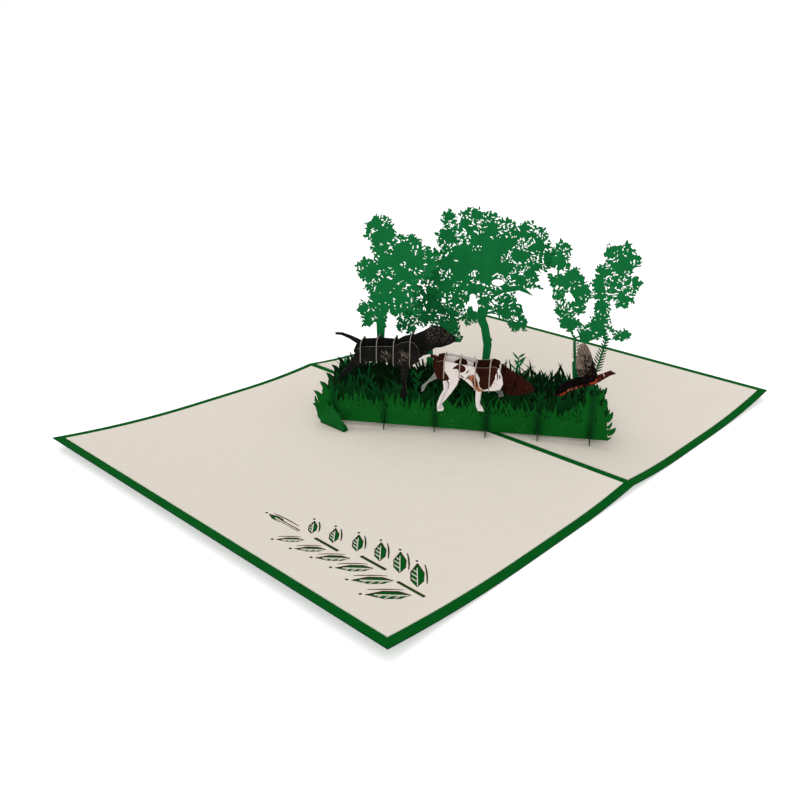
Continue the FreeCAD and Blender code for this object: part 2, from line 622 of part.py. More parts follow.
for number, (name, outline) in enumerate([("pheasant_body", pheasant_body),
                                          ("pheasant_raised_wing", raised_wing),
                                          ("pheasant_folded_wing", folded_wing)]):
    save(name, upright(polygon(outline), LONG, CROSS * (row(1) - (number + 1) * FACE_STEP)))
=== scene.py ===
# %% [markdown]
# # A pop up card, dressed
# The card lies open. A lattice of green paper strips stands on it, with four trees, two dogs
# and a pheasant cut from flat sheets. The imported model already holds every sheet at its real
# size and place, so the work here is finer outlines, printed colour and paper.

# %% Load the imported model
import json
import math
from itertools import chain

import bpy
import numpy as np
from mathutils import Matrix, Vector
from mathutils.geometry import delaunay_2d_cdt


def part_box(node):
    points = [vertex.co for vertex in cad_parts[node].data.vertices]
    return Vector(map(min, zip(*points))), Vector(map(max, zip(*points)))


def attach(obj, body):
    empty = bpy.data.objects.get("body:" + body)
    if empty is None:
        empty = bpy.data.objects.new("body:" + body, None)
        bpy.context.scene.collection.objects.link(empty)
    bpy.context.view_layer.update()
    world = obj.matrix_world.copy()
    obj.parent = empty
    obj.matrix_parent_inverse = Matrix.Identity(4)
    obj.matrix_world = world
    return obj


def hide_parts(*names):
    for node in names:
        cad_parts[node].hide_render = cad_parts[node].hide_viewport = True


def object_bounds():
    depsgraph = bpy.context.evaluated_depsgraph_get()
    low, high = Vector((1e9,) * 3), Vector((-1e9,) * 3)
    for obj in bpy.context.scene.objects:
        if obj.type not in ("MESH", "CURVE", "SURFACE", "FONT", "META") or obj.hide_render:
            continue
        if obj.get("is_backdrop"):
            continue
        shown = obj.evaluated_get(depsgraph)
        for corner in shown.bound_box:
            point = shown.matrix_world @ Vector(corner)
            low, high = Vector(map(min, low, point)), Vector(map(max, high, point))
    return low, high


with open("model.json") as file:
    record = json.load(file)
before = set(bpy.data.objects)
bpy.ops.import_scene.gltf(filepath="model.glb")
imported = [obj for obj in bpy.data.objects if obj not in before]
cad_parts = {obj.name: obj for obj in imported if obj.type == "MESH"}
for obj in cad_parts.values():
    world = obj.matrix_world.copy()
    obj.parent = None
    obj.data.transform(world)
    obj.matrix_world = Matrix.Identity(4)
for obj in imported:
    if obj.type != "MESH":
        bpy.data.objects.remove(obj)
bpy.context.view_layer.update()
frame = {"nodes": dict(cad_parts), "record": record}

# %% [markdown]
# ## The camera
# The photograph looks along the fold from the near left corner, a little from above. A camera
# could be aimed with a Track To constraint, but a matrix of its own right, up and back
# directions repeats a measured view exactly, so that is used.

# %% Camera
EYE = (-0.24881, -0.20684, 0.14179)
VIEW_RIGHT = (0.65286, -0.75665, 0.03542)
VIEW_UP = (0.26776, 0.27427, 0.92362)
VIEW_BACK = (-0.70858, -0.59351, 0.38166)


def unit(v):
    """Vectors of length 1, along the last axis."""
    return v / np.linalg.norm(v, axis=-1, keepdims=True)


def left_of(v):
    """Flat vectors turned a quarter to the left: (-y, x)."""
    return np.stack([-v[..., 1], v[..., 0]], -1)


def placed(x, y, z, spot):
    """Matrix whose columns are the directions x, y and z and a place."""
    return Matrix([(x[i], y[i], z[i], spot[i]) for i in range(3)] + [(0, 0, 0, 1)])


def linked(name, data):
    """New object of the scene with the given data."""
    made = bpy.data.objects.new(name, data)
    bpy.context.scene.collection.objects.link(made)
    return made


camera_data = bpy.data.cameras.new("camera")
camera_data.sensor_width = 36.0
camera_data.lens = 37.23
camera_data.shift_x = -0.0564
camera_data.shift_y = 0.0032
camera_data.clip_start = 0.01
camera = linked("camera", camera_data)
camera.matrix_world = placed(VIEW_RIGHT, VIEW_UP, VIEW_BACK, EYE)
bpy.context.scene.camera = camera
print("lens", camera_data.lens, "mm")

# %% [markdown]
# ## Floor and light
# Soft light from above and a bright surround keep paper colours about as they are written.
# The floor could be lit until it clips, but that would bleach the paper too. Instead the floor
# gets a little light of its own that only the camera sees.

# %% Nodes and the floor
FLOOR_LIFT = 0.42
FLOOR_HALF = 6.0
FLOOR_Z = -0.0002


def add_node(tree, kind, inputs, operation=None):
    """New node of a tree. Each input, by name or number, takes a socket or a constant."""
    node = tree.nodes.new(kind)
    if operation:
        node.operation = operation
    for key, value in inputs.items():
        if isinstance(value, bpy.types.NodeSocket):
            tree.links.new(value, node.inputs[key])
        else:
            node.inputs[key].default_value = value
    return node


def plain_tree(owner, kind="ShaderNodeOutputMaterial"):
    """Empty node tree of a material or a world, with its output node."""
    owner.use_nodes = True
    tree = owner.node_tree
    tree.nodes.clear()
    return tree, add_node(tree, kind, {})


def seen_directly(tree):
    """Socket that is 1 for rays from the camera, mirrors and clear things, 0 for light."""
    path = add_node(tree, "ShaderNodeLightPath", {})
    most = path.outputs["Is Camera Ray"]
    for name in ("Is Glossy Ray", "Is Transmission Ray"):
        larger = add_node(tree, "ShaderNodeMath", {0: most, 1: path.outputs[name]}, "MAXIMUM")
        most = larger.outputs[0]
    return most


floor_paint = bpy.data.materials.new("floor_white")
tree, output = plain_tree(floor_paint)
diffuse = add_node(tree, "ShaderNodeBsdfDiffuse", {"Color": (0.9, 0.9, 0.9, 1)})
lift = add_node(tree, "ShaderNodeMath", {0: seen_directly(tree), 1: FLOOR_LIFT}, "MULTIPLY")
glow = add_node(tree, "ShaderNodeEmission", {"Strength": lift.outputs[0]})
both = add_node(tree, "ShaderNodeAddShader", {0: diffuse.outputs[0], 1: glow.outputs[0]})
tree.links.new(both.outputs[0], output.inputs["Surface"])

floor_mesh = bpy.data.meshes.new("floor")
floor_corners = np.array([(-1, -1), (1, -1), (1, 1), (-1, 1)]) * FLOOR_HALF
floor_mesh.from_pydata(np.column_stack([floor_corners, np.full(4, FLOOR_Z)]).tolist(), [],
                       [(0, 1, 2, 3)])
floor = linked("floor", floor_mesh)
floor_mesh.materials.append(floor_paint)
floor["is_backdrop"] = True
print("floor:", 2 * FLOOR_HALF, "m wide")

# %% World and lamps
world = bpy.data.worlds.new("studio")
bpy.context.scene.world = world
tree, output = plain_tree(world, "ShaderNodeOutputWorld")
surround = add_node(tree, "ShaderNodeBackground",
                    {"Color": (1.0, 0.99, 0.97, 1), "Strength": 0.55})
backdrop = add_node(tree, "ShaderNodeBackground", {"Color": (1, 1, 1, 1), "Strength": 1.0})
mix = add_node(tree, "ShaderNodeMixShader", {0: seen_directly(tree), 1: surround.outputs[0],
                                             2: backdrop.outputs[0]})
tree.links.new(mix.outputs[0], output.inputs["Surface"])


def sun(name, strength, spread, back):
    """Sun lamp whose light comes from the direction back."""
    data = bpy.data.lights.new(name, "SUN")
    data.energy = strength
    data.angle = math.radians(spread)
    z = unit(np.array(back))
    x = unit(np.cross((0, 1, 0.01), z))
    linked(name, data).matrix_world = placed(x, np.cross(z, x), z, (0, 0, 1))


sun("overhead", 0.8, 50, (0.1, 0.35, 1.0))
sun("front", 0.85, 60, (-0.8, -0.6, 0.7))
scene = bpy.context.scene
scene.view_settings.view_transform = "Standard"

# %% [markdown]
# ## Paper and card
# Card stock is matte, with a faint cloudiness from its pulp and a fine fibre tooth. An image
# of paper would fix its scale, so two noise patterns on object coordinates make both. A cut
# edge shows the core of the sheet, so some papers take a second colour wherever they face
# sideways; on the green cover that darker edge colour is painted shade, for the shade line
# under its raised near edge. The front strip bends a little at each slot, and the soft shade
# of each bend is painted into its paper as a darker green.

# %% Paper material
TURN = math.radians(34.5)
LONG = np.array([math.sin(TURN), -math.cos(TURN), 0.0])
CROSS = np.array([math.cos(TURN), math.sin(TURN), 0.0])
UP = np.array([0.0, 0.0, 1.0])
CELL = 20.9
FIRST_CROSSING = -45.5
CLOUD_SCALE, FIBRE_SCALE = 260, 5200
FIBRE_STRENGTH, FIBRE_DEPTH = 0.25, 0.00006
FACING_LEAST = 0.7
# Painted shade at the front strip's bends: slope and least share of the plain colour.
BEND_SHADE_SLOPE, BEND_SHADE_LEAST = 7.0, 0.15


def worked(tree, operation, value, *numbers):
    """Socket of one math node on a socket and constants."""
    inputs = dict(enumerate((value, *numbers)))
    return add_node(tree, "ShaderNodeMath", inputs, operation).outputs[0]


def dotted(tree, vector, way):
    """Socket of the dot product of a vector socket with a fixed direction."""
    node = add_node(tree, "ShaderNodeVectorMath", {0: vector, 1: way}, "DOT_PRODUCT")
    return node.outputs["Value"]


def mixed(tree, factor, low, high):
    """Colour socket that is low where the factor is 0 and high where it is 1."""
    choice = tree.nodes.new("ShaderNodeMix")
    choice.data_type = "RGBA"
    choice.inputs["A"].default_value = (*low, 1)
    tree.links.new(high, choice.inputs["B"])
    tree.links.new(factor, choice.inputs["Factor"])
    return choice.outputs["Result"]


def paper(name, colour, cloud=0.05, roughness=0.85, specular=0.06, edge=None, way=LONG,
          bend_shade=None):
    """Matte paper: colour times a slow noise of the given cloudiness, and a fine bump. The edge
    colour shows where the normal lies more than 45 degrees from the way direction. The colour
    of painted shade for the front strip's bends shows softly at each crossing of the lattice:
    the share of the plain colour is 0.15 plus 7 times the distance from the nearest crossing
    in cells, and at most 1."""
    material = bpy.data.materials.new(name)
    tree, output = plain_tree(material)
    place = add_node(tree, "ShaderNodeTexCoord", {}).outputs
    slow = add_node(tree, "ShaderNodeTexNoise",
                    {"Vector": place["Object"], "Scale": CLOUD_SCALE, "Detail": 5})
    ramp = add_node(tree, "ShaderNodeValToRGB", {"Fac": slow.outputs["Fac"]})
    dark, light = ramp.color_ramp.elements
    dark.position, light.position = 0.3, 0.7
    dark.color = [c * (1 - cloud) for c in colour] + [1]
    light.color = [min(1, c * (1 + cloud)) for c in colour] + [1]
    paint = ramp.outputs["Color"]
    if edge:
        size = worked(tree, "ABSOLUTE", dotted(tree, place["Normal"], way))
        paint = mixed(tree, worked(tree, "GREATER_THAN", size, FACING_LEAST), edge, paint)
    # Painted shade: a darker colour near each crossing, where the front strip bends.
    if bend_shade:
        run = dotted(tree, place["Object"], LONG)
        cells = worked(tree, "MULTIPLY_ADD", run, 1000 / CELL, 0.5 - FIRST_CROSSING / CELL)
        middle = worked(tree, "SUBTRACT", worked(tree, "FRACT", cells), 0.5)
        apart = worked(tree, "ABSOLUTE", middle)
        near = worked(tree, "MULTIPLY_ADD", apart, BEND_SHADE_SLOPE, BEND_SHADE_LEAST)
        paint = mixed(tree, worked(tree, "MINIMUM", near, 1.0), bend_shade, paint)
    fibre = add_node(tree, "ShaderNodeTexNoise",
                     {"Vector": place["Object"], "Scale": FIBRE_SCALE, "Detail": 3})
    bump = add_node(tree, "ShaderNodeBump", {"Height": fibre.outputs["Fac"],
                                             "Strength": FIBRE_STRENGTH,
                                             "Distance": FIBRE_DEPTH})
    shader = add_node(tree, "ShaderNodeBsdfPrincipled",
                      {"Base Color": paint, "Roughness": roughness,
                       "Specular IOR Level": specular, "Normal": bump.outputs["Normal"]})
    tree.links.new(shader.outputs[0], output.inputs["Surface"])
    return material


# The cover's darker sideways faces are painted shade: the dark line under its raised near edge.
COVER_GREEN = paper("cover_green_card", (0.001, 0.092, 0.010), 0.08, specular=0.03,
                    edge=(0.003, 0.028, 0.018), way=UP)
CREAM = paper("cream_panel_paper", (0.80, 0.735, 0.655), 0.012)
# Painted highlight: a paler cream for the left panel's outer cut edge.
PANEL_EDGE_HIGHLIGHT = paper("panel_edge_painted_highlight", (0.86, 0.84, 0.74), 0.05)
SCORCH = paper("browned_laser_edge", (0.10, 0.055, 0.03), 0.4)
# The front strip's second colour is painted shade for its bends at the crossings.
FRONT_GREEN = paper("front_grass_green", (0.003, 0.096, 0.010), 0.10,
                    bend_shade=(0.001, 0.036, 0.006))
FLAP_GREEN = paper("flap_green", (0.004, 0.110, 0.016), 0.10)
FIBRE_SPECK = paper("pale_fibre_speck", (0.20, 0.33, 0.15), 0.3)
# Painted shade: the second strip's whole paper is a darker green, for the shade behind the front
# strip.
SECOND_STRIP_SHADE_GREEN = paper("second_grass_painted_shade_green", (0.003, 0.050, 0.009), 0.15)
# Painted shade: the dark green of the grass at the roots of the back three strips, of shade
# outlines and of the cross strips.
GRASS_SHADE_GREEN = paper("grass_painted_shade_green", (0.002, 0.019, 0.004), 0.2)
PLANT_GREEN = paper("plant_green", (0.003, 0.066, 0.014), 0.15)
OLIVE = paper("leaflet_olive", (0.010, 0.060, 0.018), 0.25)
CROWN_GREEN = paper("crown_green", (0.006, 0.165, 0.042), 0.10)
# Painted light: a lighter copy of the crown green, lifting the shade cast on the small back tree.
BACK_CROWN_PAINTED_LIGHT = paper("back_crown_painted_light_green", (0.010, 0.215, 0.060), 0.15)
CUT_EDGE = paper("charred_cut_edge", (0.004, 0.045, 0.012), 0.1)
print("papers:", len([m for m in bpy.data.materials if m.use_nodes]))

# %% [markdown]
# ## The cover and the right panel
# These bent sheets already have their real form, so they only take paper.

# %% Dress plain sheets
def dress(node, material):
    """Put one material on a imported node."""
    data = frame["nodes"][node].data
    data.materials.clear()
    data.materials.append(material)


dress("cover", COVER_GREEN)
dress("liner_right", CREAM)
SLOT_OF = {e["node"]: e["material_slot"] for e in frame["record"]["subparts"]}
print("slots in the record:", len(set(SLOT_OF.values())))

# %% [markdown]
# ## Reading a flat sheet out of the model
# Each strip of the lattice is a flat outline given a thickness. Its front triangles hold that
# outline. They could be joined with a boolean to finer shapes, but a constrained Delaunay
# triangulation unites thousands of small outlines at once and also says which of them covers
# each triangle, so leaves, holes and printed patches all come from one call.

# %% Flat geometry of a node
GAUGE = 0.35
SAME_WAY = 0.99
FRONT_DEPTH = 0.05


def corners_of(node):
    """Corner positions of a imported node's triangles, in mm, as (count, 3, 3)."""
    data = frame["nodes"][node].data
    data.calc_loop_triangles()
    places = np.zeros(len(data.vertices) * 3, np.float32)
    data.vertices.foreach_get("co", places)
    corners = np.zeros(len(data.loop_triangles) * 3, np.int32)
    data.loop_triangles.foreach_get("vertices", corners)
    return places.reshape(-1, 3).astype(float)[corners.reshape(-1, 3)] * 1000


def facing(spots, way, least=SAME_WAY):
    """The triangles whose normal has more than the least cosine to the given direction."""
    normal = np.cross(spots[:, 1] - spots[:, 0], spots[:, 2] - spots[:, 0])
    return spots[normal @ way > least * np.linalg.norm(normal, axis=1)]


def front_of(node, along=LONG):
    """Front triangles of a standing sheet as (count, 3, 2) along and up values in mm, and the
    distance of its middle plane across. The front looks along the cross product of along and
    up, and lies half a thickness nearer than the middle."""
    spots = facing(corners_of(node), np.cross(along, UP))
    across = np.cross(UP, along)
    nearest = (spots @ across).min()
    spots = spots[(spots @ across).max(1) < nearest + FRONT_DEPTH]
    return np.stack([spots @ along, spots @ UP], axis=2), nearest + GAUGE / 2


def rim_of(triangles):
    """Edges that only one triangle has, as start and end points, with the solid on the left."""
    points, ids = np.unique(triangles.reshape(-1, 2).round(3), axis=0, return_inverse=True)
    ids = ids.reshape(-1, 3)
    edges = np.concatenate([ids[:, [0, 1]], ids[:, [1, 2]], ids[:, [2, 0]]])
    _, back, count = np.unique(np.sort(edges, axis=1), axis=0, return_inverse=True,
                               return_counts=True)
    single = edges[count[back.ravel()] == 1]
    return points[single[:, 0]], points[single[:, 1]]


def rim_order(start, end):
    """Two orders of the rim's edges: edge into[i] ends at the point where edge out[i] starts.
    Both go by z and then by the place along."""
    key = (1.0, 1e4)
    return np.argsort(end @ key), np.argsort(start @ key)


tri, level = front_of("grass_slat_front")
print("front slat:", len(tri), "front triangles, plane at", round(level, 2), "mm")

# %% [markdown]
# ## One sheet from many outlines
# Solid outlines are united, hole outlines are taken away and patches only change the colour.

# %% Closed outlines
def spread_of(loops):
    """Signed area of closed outlines: half the sum of x times next y less y times next x."""
    after = np.roll(loops, -1, axis=-2)
    return (loops[..., 0] * after[..., 1] - after[..., 0] * loops[..., 1]).sum(-1) / 2


def turned_left(loops):
    """The same closed outlines, each running anticlockwise."""
    loops = [np.asarray(loop, float) for loop in loops]
    return [loop if spread_of(loop) > 0 else loop[::-1] for loop in loops]


def covers(loop, spots):
    """True for each spot from which a ray to the right crosses the outline an odd number of
    times."""
    after = np.roll(loop, -1, axis=0)
    rises = (loop[:, 1] > spots[:, 1:]) != (after[:, 1] > spots[:, 1:])
    drop = after[:, 1] - loop[:, 1]
    slope = (after[:, 0] - loop[:, 0]) / np.where(drop == 0, 1, drop)
    cross = loop[:, 0] + (spots[:, 1:] - loop[:, 1]) * slope
    return (rises & (spots[:, :1] < cross)).sum(1) % 2 == 1


def lowest_labels(groups, count):
    """One label for all the points that groups of them join. Each point takes the lowest label
    in its groups, and then that label's own, until nothing changes."""
    label = np.arange(count)
    while True:
        lower = label.copy()
        np.minimum.at(lower, groups.ravel(), np.repeat(label[groups].min(1), groups.shape[1]))
        lower = lower[lower]
        if (lower == label).all():
            return label
        label = lower


def largest_part(corners, size, count):
    """True for triangles of the part with the largest area. Cut crumbs fall out, as they do
    from real paper."""
    part = lowest_labels(corners, count)[corners[:, 0]]
    return part == np.bincount(part, size).argmax()


def hermite(p0, p1, m0, m1, t):
    """Cubic from p0 to p1 with slopes m0 and m1: (2t^3 - 3t^2 + 1) p0 + (t^3 - 2t^2 + t) m0
    + (3t^2 - 2t^3) p1 + (t^3 - t^2) m1."""
    return ((2 * t**3 - 3 * t**2 + 1) * p0 + (t**3 - 2 * t**2 + t) * m0
            + (3 * t**2 - 2 * t**3) * p1 + (t**3 - t**2) * m1)


print("unit square:", spread_of(np.array([(0, 0), (1, 0), (1, 1), (0, 1)])))

# %% The sheet cutter
CDT_INSIDE, CDT_TOLERANCE = 1, 1e-4
ASTRAY_SHARE, ASTRAY_LEAST = 1.1, 0.01


def flat_union(solid, holes=(), patches=(), late=()):
    """Triangles of the united solid outlines, less the holes, with a patch number for each.

    patches is a list of (outline, number). A later patch covers an earlier one. Late outlines
    are solid also where a hole lies.
    """
    loops = turned_left(list(solid) + list(holes) + list(late) + [p[0] for p in patches])
    sizes = np.array([len(loop) for loop in loops])
    starts = np.concatenate([[0], np.cumsum(sizes)[:-1]])
    faces = [list(range(s, s + n)) for s, n in zip(starts, sizes)]
    made = delaunay_2d_cdt(np.concatenate(loops).tolist(), [], faces, CDT_INSIDE,
                           CDT_TOLERANCE)
    points = np.array([tuple(p) for p in made[0]])
    corners = np.array(made[2])
    owners = made[5]
    face_of = np.repeat(np.arange(len(owners)), [len(o) for o in owners])
    owner = np.fromiter(chain.from_iterable(owners), int)
    # An outline with an edge lost in the tolerance can claim triangles far outside it, more
    # than its own area. What it covers is then found from the triangles' middles instead.
    own = np.array([abs(spread_of(loop)) for loop in loops])
    size = np.abs(spread_of(points[corners]))
    claimed = np.bincount(owner, size[face_of], len(loops))
    astray = claimed > ASTRAY_SHARE * own + ASTRAY_LEAST
    middles = points[corners].mean(1)
    sound = ~astray[owner]
    face_of, owner = face_of[sound], owner[sound]
    for index in np.nonzero(astray)[0]:
        held = np.nonzero(covers(loops[index], middles))[0]
        face_of = np.concatenate([face_of, held])
        owner = np.concatenate([owner, np.full(len(held), index)])
    first_hole, first_late = len(solid), len(solid) + len(holes)
    first_patch = first_late + len(late)
    inside = np.zeros(len(owners), bool)
    inside[face_of[owner < first_hole]] = True
    inside[face_of[(owner >= first_hole) & (owner < first_late)]] = False
    inside[face_of[(owner >= first_late) & (owner < first_patch)]] = True
    top = np.full(len(owners), -1)
    np.maximum.at(top, face_of, np.where(owner >= first_patch, owner, -1))
    numbers = np.array([0] + [p[1] for p in patches])
    tone = numbers[np.where(top < 0, 0, top - first_patch + 1)]
    corners, tone = corners[inside], tone[inside]
    whole = largest_part(corners, size[inside], len(points))
    corners, tone = corners[whole], tone[whole]
    used, corners = np.unique(corners, return_inverse=True)
    return points[used], corners.reshape(-1, 3), tone

# %% Meshes from sheets
def lay_mesh(node, points, corners, tone, materials, edge, gauge=GAUGE):
    """Object in a node's place from 3-D points in mm, thickened evenly, with an edge material
    on its rim, or one for each of the materials."""
    name, slot = node + "_sheet", SLOT_OF[node]
    mesh = bpy.data.meshes.new(name)
    mesh.from_pydata((points * 0.001).tolist(), [], corners.tolist())
    edges = edge if isinstance(edge, list) else [edge] * len(materials)
    for material in chain.from_iterable(zip(materials, edges)):
        mesh.materials.append(material)
    mesh.polygons.foreach_set("material_index", (tone * 2).astype(np.int32))
    mesh.update()
    piece = linked(name, mesh)
    thick = piece.modifiers.new("thickness", "SOLIDIFY")
    thick.thickness = gauge * 0.001
    thick.offset = 0
    thick.material_offset_rim = 1
    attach(piece, "root")
    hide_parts(node)
    print(name, len(corners), "flat triangles")


def standing_sheet(node, solid, level, materials, along=LONG, holes=(), patches=(), late=(),
                   edge=CUT_EDGE):
    """Upright sheet in a node's place: outline point (a, z) lies at a times along, level times
    across, z up."""
    points, corners, tone = flat_union(solid, holes, patches, late)
    spots = points[:, :1] * along + points[:, 1:] * UP + level * np.cross(UP, along)
    lay_mesh(node, spots, corners, tone, materials, edge)


print("thickness of the standing sheets:", GAUGE, "mm")

# %% [markdown]
# ## The cut panel
# The left panel has a leafy sprig cut through it by a hot beam, which browns the paper beside
# each cut. The browning could be a painted attribute, but narrow strips laid along the holes'
# edges give it a sharp limit at any distance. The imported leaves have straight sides. Here they
# are rounded and take ribs of paper, and a fine slit and a dot follow each of them.

# %% Rim curves and ribs
LINER_T = 0.3
STEM_WIDEST = 1.4
ROUND_PULL = 0.42
TIP_TURN = 0.2
SLIVER_LEAST = 0.004


def beside(start, end, reach, extra):
    """Rectangles that reach to both sides of each edge and run past its ends by extra."""
    run = unit(end - start)
    side = left_of(run) * reach
    start, end = start - run * extra, end + run * extra
    return np.stack([start - side, end - side, end + side, start + side], 1)


def bulges(start, end):
    """Slivers between each rim edge and a cubic Hermite curve over it. The curve's slope at a
    point is ROUND_PULL times the line between its neighbours, or the edge at a sharp tip."""
    into, out = rim_order(start, end)
    before, after = np.empty_like(start), np.empty_like(end)
    before[out], after[into] = start[into], end[out]
    own = end - start

    def slope(a, p, b):
        """Slopes at p between neighbours a and b."""
        u, v = p - a, b - p
        turn = (u * v).sum(1) / np.linalg.norm(u, axis=1) / np.linalg.norm(v, axis=1)
        return np.where((turn < TIP_TURN)[:, None], own, ROUND_PULL * (b - a))[:, None]

    curve = hermite(start[:, None], end[:, None], slope(before, start, end),
                    slope(start, end, after), np.linspace(0, 1, 6)[None, :, None])
    return curve[np.abs(spread_of(curve)) > SLIVER_LEAST]


def holes_of(start, end):
    """Points of each closed hole, by the label that its edges share."""
    points, ids = np.unique(np.concatenate([start, end]).round(3), axis=0, return_inverse=True)
    label = lowest_labels(ids.reshape(2, -1).T, len(points))
    return [points[label == n] for n in np.unique(label)]


def slit(a, b, bow, width):
    """Thin curved slit from a to b: the middle line bows aside by bow times 4 t (1 - t), and
    the half width is half the width times 0.25 + 3 t (1 - t)."""
    a, b = np.asarray(a, float), np.asarray(b, float)
    t = np.linspace(0, 1, 7)
    run = b - a
    side = left_of(unit(run))
    arch = 4 * t * (1 - t)
    middle = a + run * t[:, None] + side * (bow * arch)[:, None]
    half = side * (width / 2 * (0.25 + 0.75 * arch))[:, None]
    return np.concatenate([middle + half, (middle - half)[::-1]])


print("one slit has", len(slit((0, 0), (1, 0), 0, 0.1)), "points")

# %% Left panel with browned edges
TOP_LEAST, RIM_CLEAR = 0.9, 1
MIDRIB_SHARE, MIDRIB_HALF = 0.8, 0.13
SIDE_RIB_PARTS, SIDE_RIB_HALF = (0.22, 0.42, 0.62), 0.11
SIDE_RIB_AHEAD, SIDE_RIB_ASIDE = 0.75, 0.65
SLIT_PARTS_AND_GAPS = ((0.15, 0.75), (0.95, 0.35))
SLIT_BOW, SLIT_WIDTH = -0.3, 0.34
DOT_FROM, DOT_TO, DOT_WIDTH = 0.9, 1.7, 0.8
CHAR_PACKED, CHAR_FINE = (0.17, 0.05), (0.12, 0.02)

top = facing(corners_of("liner_left"), UP, TOP_LEAST)
start, end = rim_of(top[:, :, :2])
low, high = top[:, :, :2].min((0, 1)), top[:, :, :2].max((0, 1))
middle = (start + end) / 2
inner = ((middle > low + RIM_CLEAR) & (middle < high - RIM_CLEAR)).all(1)
start, end = start[inner], end[inner]
leaf_holes, stem_points = [], []
for hole in holes_of(start, end):
    heart = hole.mean(0)
    _, ways = np.linalg.eigh(np.cov((hole - heart).T))
    if np.ptp(hole @ ways[:, 0]) > STEM_WIDEST:
        leaf_holes.append((hole, heart, ways[:, 1]))
    else:
        stem_points.append(hole)
stem_points = np.concatenate(stem_points)
ribs, cuts = [], list(bulges(start, end))
for hole, heart, way in leaf_holes:
    run = (hole - heart) @ way
    ends = heart + way * run.min(), heart + way * run.max()
    gap = [np.linalg.norm(stem_points - e, axis=1).min() for e in ends]
    foot, tip = ends if gap[0] < gap[1] else ends[::-1]
    length = np.linalg.norm(tip - foot)
    way = (tip - foot) / length
    side = left_of(way)
    wide = np.ptp(hole @ side)
    ribs += list(beside((foot - way)[None], (foot + way * length * MIDRIB_SHARE)[None],
                        MIDRIB_HALF, 0))
    for part in SIDE_RIB_PARTS:
        root = foot + way * length * part
        out = way * SIDE_RIB_AHEAD + side * SIDE_RIB_ASIDE
        ribs += list(beside(root[None], (root + out * wide)[None], SIDE_RIB_HALF, 0))
    a, b = [foot + way * length * part - side * (wide * 0.5 + clear)
            for part, clear in SLIT_PARTS_AND_GAPS]
    cuts += [slit(a, b, SLIT_BOW, SLIT_WIDTH),
             slit(tip + way * DOT_FROM, tip + way * DOT_TO, 0, DOT_WIDTH)]
loops = turned_left(cuts)
fine_start = np.concatenate(loops)
fine_end = np.concatenate([np.roll(loop, -1, 0) for loop in loops])
char = np.concatenate([beside(start, end, *CHAR_PACKED),
                       beside(fine_start, fine_end, *CHAR_FINE)])
points, corners, tone = flat_union(list(top[:, :, :2]), cuts, [(c, 1) for c in char], ribs)
x, first = np.unique(top[:, :, 0].ravel().round(3), return_index=True)
height = np.interp(points[:, 0], x, top[:, :, 2].ravel()[first]) - LINER_T / 2
# The outer cut edge takes the paler cream, a painted highlight; the browned rims take the scorch.
lay_mesh("liner_left", np.column_stack([points, height]), corners, tone, [CREAM, SCORCH],
         [PANEL_EDGE_HIGHLIGHT, SCORCH], LINER_T)
print("leaves in the sprig:", len(leaf_holes))

# %% [markdown]
# ## Leaves and blades
# A crown seen close up is hundreds of small leaves along the rim of a cut-out, with slits of
# light between them. Particles could scatter them, but they are part of the same sheet, so
# they are outlines too, worked out as whole arrays.

# %% Leaf and blade outlines
def leaves(root, angle, length, width):
    """Leaf outlines: half width times (0.3, 1, 0.75, 0) at (0, 0.35, 0.7, 1) of the length."""
    run = np.array([0, 0.35, 0.7, 1.0, 0.7, 0.35, 0])
    half = np.array([-0.3, -1, -0.75, 0, 0.75, 1, 0.3]) / 2
    way = np.stack([np.cos(angle), np.sin(angle)], 1)[:, None, :]
    side = np.stack([-np.sin(angle), np.cos(angle)], 1)[:, None, :]
    return (root[:, None, :] + way * (run * length[:, None])[:, :, None]
            + side * (half * width[:, None])[:, :, None])


def blades(root, height, lean, curl, width):
    """Grass blades: the middle line rises by height t - 0.25 |curl| t^2 and moves aside by
    lean t + curl t^2, and the half width is half the width times (1 - t) to the power 0.6."""
    t = np.array([0, 0.25, 0.5, 0.75, 1.0])
    aside = lean[:, None] * t + curl[:, None] * t * t
    half = width[:, None] / 2 * (1 - t) ** 0.6
    rise = height[:, None] * t - 0.25 * np.abs(curl)[:, None] * t * t
    left = np.stack([root[:, :1] + aside - half, root[:, 1:] + rise], 2)
    right = np.stack([root[:, :1] + aside + half, root[:, 1:] + rise], 2)
    return np.concatenate([left, right[:, -2::-1]], 1)


print("one leaf outline has", leaves(np.zeros((1, 2)), np.zeros(1), np.ones(1),
                                     np.ones(1)).shape[1], "points")

# %% Scatters of leaves and blades
RIM_SPACING = 0.6
BITE_SHARE = 0.13
SLIT_INSET = 0.5
DRIFT_RATES, DRIFT_LEAST = (0.5, 0.6), -0.05
LEAF_INSET, LEAF_SWAY, LEAF_WIDTHS = 0.3, 0.9, (0.6, 1.05)
BITE_DEPTH, BITE_SWAY = 2.5, 0.5
BITE_LENGTHS, BITE_WIDTHS = (1.2, 2.4), (0.3, 0.65)
SLIT_WIDTHS = (0.25, 0.75)


def along_rim(triangles, spacing, keep, chance):
    """Random points on the rim about a spacing apart, with the angle that looks outwards."""
    start, end = rim_of(triangles)
    run = end - start
    count = np.maximum(1, (np.linalg.norm(run, axis=1) / spacing).round().astype(int))
    part = chance.random(count.sum())[:, None]
    start, run = np.repeat(start, count, 0), np.repeat(run, count, 0)
    spots = start + run * part
    outward = np.arctan2(-run[:, 0], run[:, 1])
    kept = keep(spots)
    return spots[kept], outward[kept]


